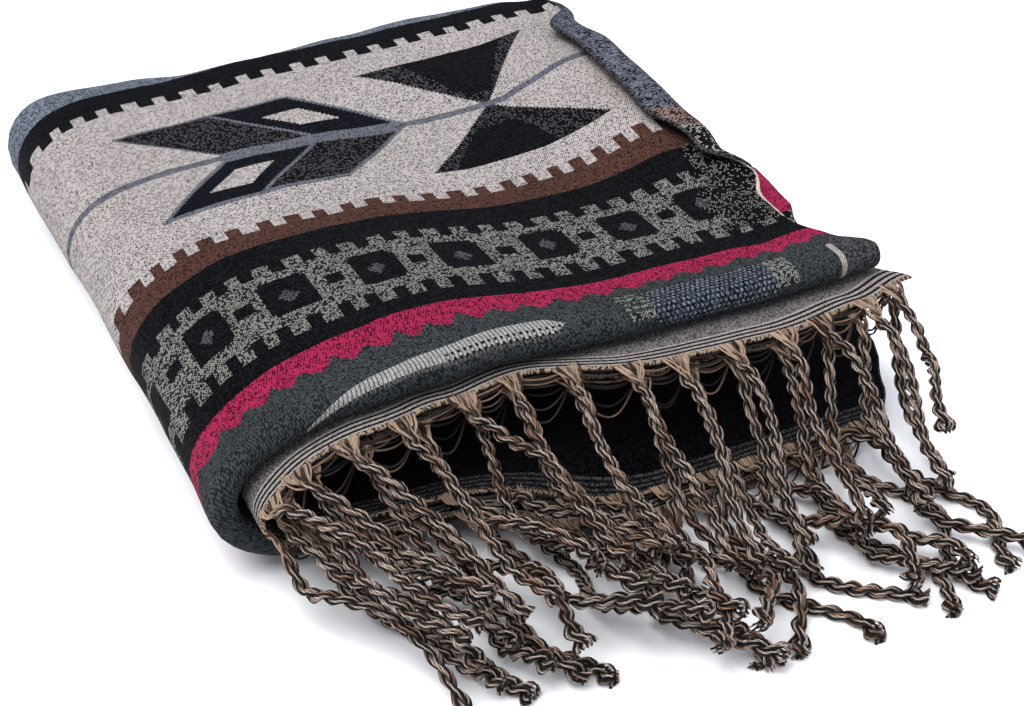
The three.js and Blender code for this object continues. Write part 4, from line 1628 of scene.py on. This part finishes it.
    def reach_of(self, tassel: Tassel, along: np.ndarray, share: np.ndarray) -> np.ndarray:
        """How far a tassel reaches sideways and upwards from its line.

        Args:
            tassel: The tassel.
            along: Its direction at each place.
            share: Share of its length at each place.

        Returns:
            Pairs of the two reaches.
        """
        out = share * self.length
        turned = ease((out - self.strip_width) / self.root_reach)[:, None]
        side = blend(tassel.side, RIGHT, turned)
        side = unit(side - along * np.sum(side * along, axis=1, keepdims=True))
        up = np.cross(along, side)
        gathered = ease(out / self.root_reach)
        tuft = ease((out - (self.length - self.tuft_length)) / self.tuft_length)
        width = blend(blend(self.root_width, self.cord, gathered), self.tuft_width, tuft)
        thick = blend(self.root_thickness, self.cord, gathered)
        flat = np.hypot(side[:, 0], side[:, 1]) * width + np.hypot(up[:, 0], up[:, 1]) * thick
        high = np.abs(side[:, 2]) * width + np.abs(up[:, 2]) * thick
        return np.stack([flat, high], axis=-1) / 2

    def lay(self, tassel: Tassel) -> None:
        """Lays a tassel on what lies there already, and raises the grid by it."""
        out = np.arange(0.0, self.length * self.longest_reach, self.step)
        free = self.way(tassel, out)
        run = np.linalg.norm(np.diff(free, axis=0), axis=1)
        count = int(np.searchsorted(np.cumsum(run), self.length)) + 2
        free, out = free[:count], out[:count]
        along = unit(self.directions(free))
        reach = self.reach_of(tassel, along, np.linspace(0, 1, count))
        sides = reach[:, 0] + self.clearance
        under = np.array([self.height_at(x, y, side) for (x, y, _), side in zip(free, sides)])
        need = under + reach[:, 1] + np.where(under > 0, self.clearance, 0.0)
        need = np.where(out > self.strip_width / 2, need, 0.0)
        apart = np.abs(np.arange(count)[:, None] - np.arange(count)[None, :]) * self.step
        settled = np.maximum(free[:, 2], np.max(need[None, :] - apart * self.slope, axis=1))
        stride = (count - 1) / (self.stations - 1)
        line = []
        for k in range(self.stations):
            middle = math.floor(k * stride + 0.5)
            first = max(0, math.ceil((k - 1) * stride))
            part = slice(first, min(count - 1, math.floor((k + 1) * stride)) + 1)
            raised = settled[part][settled[part] > free[part, 2] + self.lifted]
            z = max([settled[middle], *raised])
            line.append((*free[middle, :2], tassel.root[2] if k == 0 else z))
        tassel.line = np.array(line)
        for k in range(self.stations - 1):
            ends = tassel.line[k : k + 2]
            shares = np.arange(0, 1, self.fine_share)
            points = blend(ends[0], ends[1], shares[:, None])
            heading = np.broadcast_to(unit(ends[1] - ends[0]), points.shape)
            sizes = self.reach_of(tassel, heading, (k + shares) / (self.stations - 1))
            for (x, y, z), (side, high) in zip(points, sizes):
                self.raise_to(x, y, side + self.clearance, z + high)

    @staticmethod
    def directions(points: np.ndarray) -> np.ndarray:
        """Differences between the neighbours of each point along a line."""
        before = np.concatenate([points[:1], points[:-1]])
        after = np.concatenate([points[1:], points[-1:]])
        return after - before

    def laid(self) -> list[Tassel]:
        """All tassels, laid."""
        tassels = self.roots()
        for tassel in tassels:
            self.lay(tassel)
        return tassels


@dataclass
class Fringe:
    """The yarns of a share of the tassels of one end, as one piece.

    Attributes:
        name: Name of the piece.
        node: CAD node that it stands for.
        yarn_radii: Least radius of a yarn and its scatter, as shares of the usual one.
        ply_pitches: Least length of a ply's turn and its scatter, as shares of ply_pitch.
        fan_start: How far behind the tassel's root its smooth line starts.
        fan_lift: Least height of the fan's yarns, as a share of their scatter, and the scatter.
        pile_swelling: How much thicker the tassels are that lie in the pile at the left.
        pile_until: Place over the width up to which that pile reaches.
        tuft_spread: How much wider the yarns lie at the tip.
        wobble: Share by which a cord's thickness wobbles.
        wobble_pitch: Distance in which the wobble turns by one radian.
        inward: Least distance of a yarn from its ply's middle, and its scatter.
        lift: How far the twisted part is raised over the tassel's line.
        deep_loops: Further ones at end B, which hang lower.
        loop_fall: Share of its slack that a slack loop falls, and that a deep one does.
        loop_slack: Least slack, what each further loop adds, and the scatter.
        loop_start: Least distance of a loop from the hem, and its scatter.
        loop_height: Height of the first loop over the hem's middle, and the step to the next.
        painted_groove_shade: Painted shade in a cord's groove: the light left there, what its outside
        adds, and the power between.
        root_fade: Distance at which the pale root starts to fade, and share of the fan.
        tones: Tone of every second yarn, and the scatter of the yarns' and the loops' tones.
    """

    name: str
    node: str
    pile: TasselPile
    origin: Origin
    stations: int = 84
    sides: int = 4
    plies: int = 2
    yarns_per_ply: int = 8
    yarn_radius: float = 0.00056
    ply_radius: float = 0.00118
    cord_radius: float = 0.00155
    ply_pitch: float = 0.0165
    yarn_pitch: float = 0.034
    fan_width: float = 0.0140
    fan_start: float = 0.0064
    fan_length: float = 0.016
    pile_swelling: float = 1.15
    pile_until: float = 0.45
    yarn_radii: tuple[float, float] = (0.85, 0.3)
    ply_pitches: tuple[float, float] = (0.85, 0.4)
    tuft_spread: float = 0.75
    wobble: float = 0.12
    wobble_pitch: float = 0.009
    inward: tuple[float, float] = (0.9, 0.2)
    fan_lift: tuple[float, float] = (0.7, 0.0012)
    lift: float = 0.0004
    slack_loops: int = 3
    deep_loops: int = 2
    loop_fall: tuple[float, float] = (0.5, 1.6)
    loop_slack: tuple[float, float, float] = (0.0004, 0.0014, 0.0030)
    loop_start: tuple[float, float] = (0.0004, 0.0008)
    loop_height: tuple[float, float] = (0.0010, 0.0008)
    painted_groove_shade: tuple[float, float, float] = (0.10, 0.94, 2.6)
    root_fade: tuple[float, float] = (0.006, 0.9)
    root_light: tuple[float, float] = (0.55, 0.45)
    loop_pale: float = 0.12
    tones: tuple[float, float, float] = (0.5, 0.5, 0.6)

    def middle_line(self, tassel: Tassel) -> np.ndarray:
        """A smooth line through a tassel's stations, from its hem to its tip.

        Between two stations it is the cubic that has half the difference of each station's
        neighbours as its slope there.
        """
        start = tassel.line[0] + np.array([0.0, self.fan_start, 0.0])
        knots = np.concatenate([start[None], tassel.line])
        slopes = self.pile.directions(knots) / 2
        at = np.linspace(0, len(knots) - 1, self.stations * 2)
        low = np.minimum(at.astype(int), len(knots) - 2)
        t = (at - low)[:, None]
        rise = t * t * (3 - 2 * t)
        line = knots[low] * (1 - rise) + knots[low + 1] * rise
        line = line + slopes[low] * (t * (1 - t) ** 2) + slopes[low + 1] * (t * t * (t - 1))
        length = np.concatenate([[0], np.cumsum(np.linalg.norm(np.diff(line, axis=0), axis=1))])
        even = np.linspace(0, length[-1], self.stations)
        smooth = np.stack([np.interp(even, length, line[:, axis]) for axis in range(3)], axis=-1)
        return smooth

    def yarn_lines(self, tassel: Tassel) -> tuple[np.ndarray, np.ndarray]:
        """The middle lines of a tassel's yarns.

        Each yarn circles its ply, and each ply circles the cord. Over the root they come
        together from a fan along the hem, and at the tip they spread.

        Args:
            tassel: A laid tassel.

        Returns:
            Points, by yarns and stations, and the middle line of the tassel for each of them.
        """
        middle = self.middle_line(tassel)
        steps = np.linalg.norm(np.diff(middle, axis=0), axis=1)
        run = np.concatenate([[0], np.cumsum(steps)])
        heading = unit(self.pile.directions(middle))
        sideways = unit(np.cross(heading, UP))
        upward = np.cross(sideways, heading)
        count = self.plies * self.yarns_per_ply
        number = np.arange(count)
        ply, yarn = number // self.yarns_per_ply, number % self.yarns_per_ply
        seed = tassel.index * 31.0
        phase = NEAR_TURN * float(scatter(seed, 11))
        least, more = self.ply_pitches
        pitch = self.ply_pitch * (least + more * float(scatter(seed, 12)))
        left = run[-1] - run
        spread = 1 + self.tuft_spread * ease(1 - left / self.pile.tuft_length)
        wobble = 1 + self.wobble * np.sin(run / self.wobble_pitch + phase * 3)
        ply_angle = 2 * np.pi * run / pitch + phase + np.pi * ply[:, None]
        turned = 2 * np.pi * yarn / (self.yarns_per_ply - 1)
        yarn_angle = turned[:, None] - 2 * np.pi * run / self.yarn_pitch
        least, more = self.inward
        inward = np.minimum(yarn, 1) * (least + more * scatter(number + seed, 16))
        spread = spread * (self.pile_swelling if tassel.across < self.pile_until else 1.0)
        reach = self.cord_radius * wobble * spread
        small = self.ply_radius * spread * inward[:, None]
        off_side = reach * np.cos(ply_angle) + small * np.cos(yarn_angle)
        off_up = reach * np.sin(ply_angle) + small * np.sin(yarn_angle)
        twisted = middle + off_side[..., None] * sideways + off_up[..., None] * upward
        place = scatter(number + seed, 14).argsort().argsort()
        fan = ((place + 0.5) / count - 0.5) * self.fan_width
        least, most = self.fan_lift
        lift = (scatter(number + seed, 15) + least) * most
        root = middle + fan[:, None, None] * tassel.side
        root = root + lift[:, None, None] * UP
        share = ease(run / self.fan_length)[:, None]
        lines = blend(root, twisted, share)
        floor = self.yarn_radius * ON_FLOOR
        lines[..., 2] = np.maximum(lines[..., 2] + self.lift * share[:, 0], floor)
        return lines, np.broadcast_to(middle, lines.shape)

    def edge_loops(self, tassels: list[Tassel]) -> np.ndarray:
        """The slack edge threads that hang in scallops between neighbouring tassels.

        A loop follows the hem from one root to the next. Half a sine wave, as high as the
        loop's slack, is taken off to the front, and some of it downwards.

        Args:
            tassels: The tassels of this piece, in the order of their roots.

        Returns:
            Points, by loops and stations.
        """
        share = np.linspace(0, 1, self.stations)
        bow = np.sin(np.pi * share)
        end, outline = tassels[0].end, self.pile.packet.outline
        least_slack, slack_step, more_slack = self.loop_slack
        (least_start, more_start), (top, below) = self.loop_start, self.loop_height
        loops = []
        for left, right in zip(tassels, tassels[1:]):
            across = blend(left.across, right.across, share)
            edge = outline.read(end, across)
            hem = self.pile.on_layer(end, across, edge)
            deep = self.deep_loops if end == "end_b" else 0
            for number in range(self.slack_loops + deep):
                chance = scatter(left.index * 7.0 + number, np.array([31, 32]))
                fall = self.loop_fall[number >= self.slack_loops]
                slack = least_slack + slack_step * number + more_slack * chance[0]
                start = least_start + more_start * chance[1]
                down = (top - below * number) - fall * slack * bow
                off = np.stack([np.zeros_like(bow), -start - slack * bow, down], axis=-1)
                loops.append(hem + off)
        lines = np.array(loops)
        lines[..., 2] = np.maximum(lines[..., 2], self.yarn_radius)
        return lines

    @staticmethod
    def tubes(yarns: int, stations: int, sides: int) -> tuple[np.ndarray, np.ndarray, np.ndarray]:
        """The faces of a number of closed tubes, seen from outside.

        Args:
            yarns: Number of tubes.
            stations: Rings of each tube.
            sides: Points of each ring.

        Returns:
            The numbers of the points by tube, ring and side, the faces round the tubes, and
            the faces at both ends of each.
        """
        index = np.arange(yarns * stations * sides).reshape(yarns, stations, sides)
        turned = np.roll(index, -1, axis=2)
        quads = np.stack([index[:, 1:], turned[:, 1:], turned[:, :-1], index[:, :-1]], axis=-1)
        return index, quads.reshape(-1, 4), np.concatenate([index[:, 0], index[:, -1, ::-1]])

    def build(self, tassels: list[Tassel], material: bpy.types.Material) -> bpy.types.Object:
        """Makes the yarns of some tassels as round tubes and dresses them.

        A tube's point is its yarn's middle plus the yarn's radius times the cosine of its
        angle sideways and the sine upwards.

        Args:
            tassels: The tassels of this piece, laid.
            material: The yarn's material.

        Returns:
            The finished piece.
        """
        laid = [self.yarn_lines(tassel) for tassel in tassels]
        strands = np.concatenate([lines for lines, _ in laid])
        loops = self.edge_loops(tassels)
        lines = np.concatenate([strands, loops])
        middles = np.concatenate([*(middle for _, middle in laid), loops + FAR_OFF])
        number = np.arange(len(lines))
        looped = number >= len(strands)
        heading = np.gradient(lines, axis=1)
        sideways = unit(np.cross(heading, NEAR_UP))
        upward = unit(np.cross(sideways, heading))
        angle = 2 * np.pi * np.arange(self.sides) / self.sides
        least, more = self.yarn_radii
        radius = self.yarn_radius * (least + more * scatter(number, 21))[:, None, None, None]
        ring = np.cos(angle)[:, None] * sideways[:, :, None]
        ring = ring + np.sin(angle)[:, None] * upward[:, :, None]
        points = lines[:, :, None] + radius * ring
        points[..., 2] = np.maximum(points[..., 2], 0.0)
        # Painted shade: yarn surfaces near the cord's middle, in its grooves, are made darker.
        away = np.linalg.norm(points - middles[:, :, None], axis=-1)
        full = self.cord_radius + self.ply_radius * self.inward[0]
        groove, outside, power = self.painted_groove_shade
        groove_shade_values = groove + outside * np.clip(away / full, 0, 1) ** power
        index, quads, caps = self.tubes(*points.shape[:3])
        place = points.reshape(-1, 3) + np.array(self.origin.offset)
        piece = make_mesh(self.name, place, quads, caps)
        run = np.linspace(0, self.pile.length, self.stations)
        around = np.broadcast_to(np.arange(self.sides) * SIDE_WIDTH, index.shape)
        along = np.broadcast_to(run[None, :, None], index.shape)
        add_uv(piece, "Laid", np.stack([around.ravel(), along.ravel()], axis=-1))
        add_values(piece, "groove_shade", groove_shade_values)
        second, more, more_looped = self.tones
        light = np.where(looped, 0.0, second * (number % self.yarns_per_ply % 2))
        tone = light + np.where(looped, more_looped, more) * scatter(number * 7.0, 22)
        add_values(piece, "tone", np.broadcast_to(tone[:, None, None], index.shape))
        fade_from, fade_share = self.root_fade
        rooted = 1 - ease((run - fade_from) / (self.fan_length * fade_share))
        least, more = self.root_light
        lit = least + more * scatter(number, 23)
        pale = np.where(looped[:, None], self.loop_pale, rooted[None, :]) * lit[:, None]
        add_values(piece, "root", np.broadcast_to(pale[:, :, None], index.shape))
        piece.data.materials.append(material)
        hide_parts(self.node)
        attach(piece, "root")
        LOG.info("%s: %d faces", piece.name, len(piece.data.polygons))
        return piece


@dataclass(frozen=True)
class Studio:
    """The camera of the photograph, a pale floor and soft lights.

    Attributes:
        aim: What the camera looks at, from the stack's front left corner.
        azimuth: Turn of the camera about the stack, in degrees.
        elevation: Height of the camera above the horizon, in degrees.
        roll: Turn of the picture, in degrees.
        distance: From the camera to its aim.
        focal: Focal length in pixels of the photograph's width, which is photo_width.
        lamps: Name, direction, width in degrees and power of each light.
    """

    aim: tuple[float, ...] = mm(179.6, 73.2, 30.0)
    azimuth: float = -30.0
    elevation: float = 35.0
    roll: float = 4.5
    distance: float = 0.8812
    focal: float = 1800.0
    photo_width: float = 1024.0
    sensor: float = 36.0
    floor_reach: float = 6.0
    floor_colour: COLOUR = (0.98, 0.985, 1.0)
    lamps: tuple[tuple[str, tuple[float, float, float], float, float], ...] = (
        ("key", (-0.5, -0.08, 1.0), 40.0, 2.9),
        ("overhead", (0.25, -0.1, 1.0), 90.0, 0.9),
    )
    sky_colour: COLOUR = (0.85, 0.89, 1.0)
    sky_power: float = 0.58

    def camera(self, origin: Origin) -> None:
        """Adds the camera at the photograph's viewing angle."""
        a, e, r = (math.radians(v) for v in (self.azimuth, self.elevation, self.roll))
        back = Vector((math.sin(a) * math.cos(e), -math.cos(a) * math.cos(e), math.sin(e)))
        right = Vector((math.cos(a), math.sin(a), 0.0))
        up = back.cross(right)
        turned_right = right * math.cos(r) + up * math.sin(r)
        turned_up = up * math.cos(r) - right * math.sin(r)
        data = bpy.data.cameras.new("camera")
        data.sensor_width = self.sensor
        data.lens = self.focal / self.photo_width * self.sensor
        camera = bpy.data.objects.new("camera", data)
        place = Vector(self.aim) + origin.offset + back * self.distance
        turn = Matrix((turned_right, turned_up, back)).transposed().to_4x4()
        camera.matrix_world = Matrix.Translation(place) @ turn
        bpy.context.scene.collection.objects.link(camera)
        bpy.context.scene.camera = camera

    def floor(self) -> bpy.types.Object:
        """Adds the floor: a wide level sheet of a pale matt colour."""
        corners = ((-1, -1, 0), (1, -1, 0), (1, 1, 0), (-1, 1, 0))
        points = self.floor_reach * np.array(corners)
        sheet = make_mesh("floor", points, np.array([[0, 1, 2, 3]]), NO_CAPS)
        cloth = Cloth("pale_floor", Finish(roughness=0.9, specular=0.1, sheen=0.0))
        cloth.shader.inputs["Base Color"].default_value = (*self.floor_colour, 1.0)
        sheet.data.materials.append(cloth.material)
        return sheet

    def light(self, name: str, towards: tuple[float, ...], spread: float, power: float) -> None:
        """Adds an even, soft light from far away.

        Args:
            name: Name of the light.
            towards: Direction that it comes from.
            spread: Width of the light as seen from the shawl, in degrees.
            power: Light on a surface that faces it, in watts per square metre.
        """
        data = bpy.data.lights.new(name, "SUN")
        data.angle, data.energy = math.radians(spread), power
        lamp = bpy.data.objects.new(name, data)
        lamp.rotation_euler = Vector(towards).to_track_quat("Z", "Y").to_euler()
        bpy.context.scene.collection.objects.link(lamp)

    def lights(self) -> None:
        """Adds the lights and a bright, even surround."""
        for lamp in self.lamps:
            self.light(*lamp)
        world = bpy.data.worlds.new("surround")
        world.use_nodes = True
        background = world.node_tree.nodes["Background"]
        background.inputs["Color"].default_value = (*self.sky_colour, 1.0)
        background.inputs["Strength"].default_value = self.sky_power
        bpy.context.scene.world = world
        bpy.context.scene.view_settings.view_transform = "Standard"
        bpy.context.scene.view_settings.look = "None"


def main() -> None:
    """Builds the cloth, the fringes and the studio, in that order."""
    logging.basicConfig(level=logging.INFO)
    packet = Packet()
    origin = Origin.from_frame(packet)
    studio = Studio()
    studio.camera(origin)
    cloth = ShawlCloth(packet, origin).build(Weave())
    pile = TasselPile(packet)
    tassels = pile.laid()
    yarn = FringeYarn().material()
    for end in ("end_a", "end_b"):
        of_end = sorted((t for t in tassels if t.end == end), key=lambda t: t.index)
        half = len(of_end) // 2
        for part, chosen in (("lower", of_end[:half]), ("upper", of_end[half:])):
            fringe = Fringe(f"tassels_{end}_{part}", f"fringe_{end}", pile, origin)
            fringe.build(chosen, yarn)
    studio.floor()
    studio.lights()


if __name__ == "__main__":
    main()
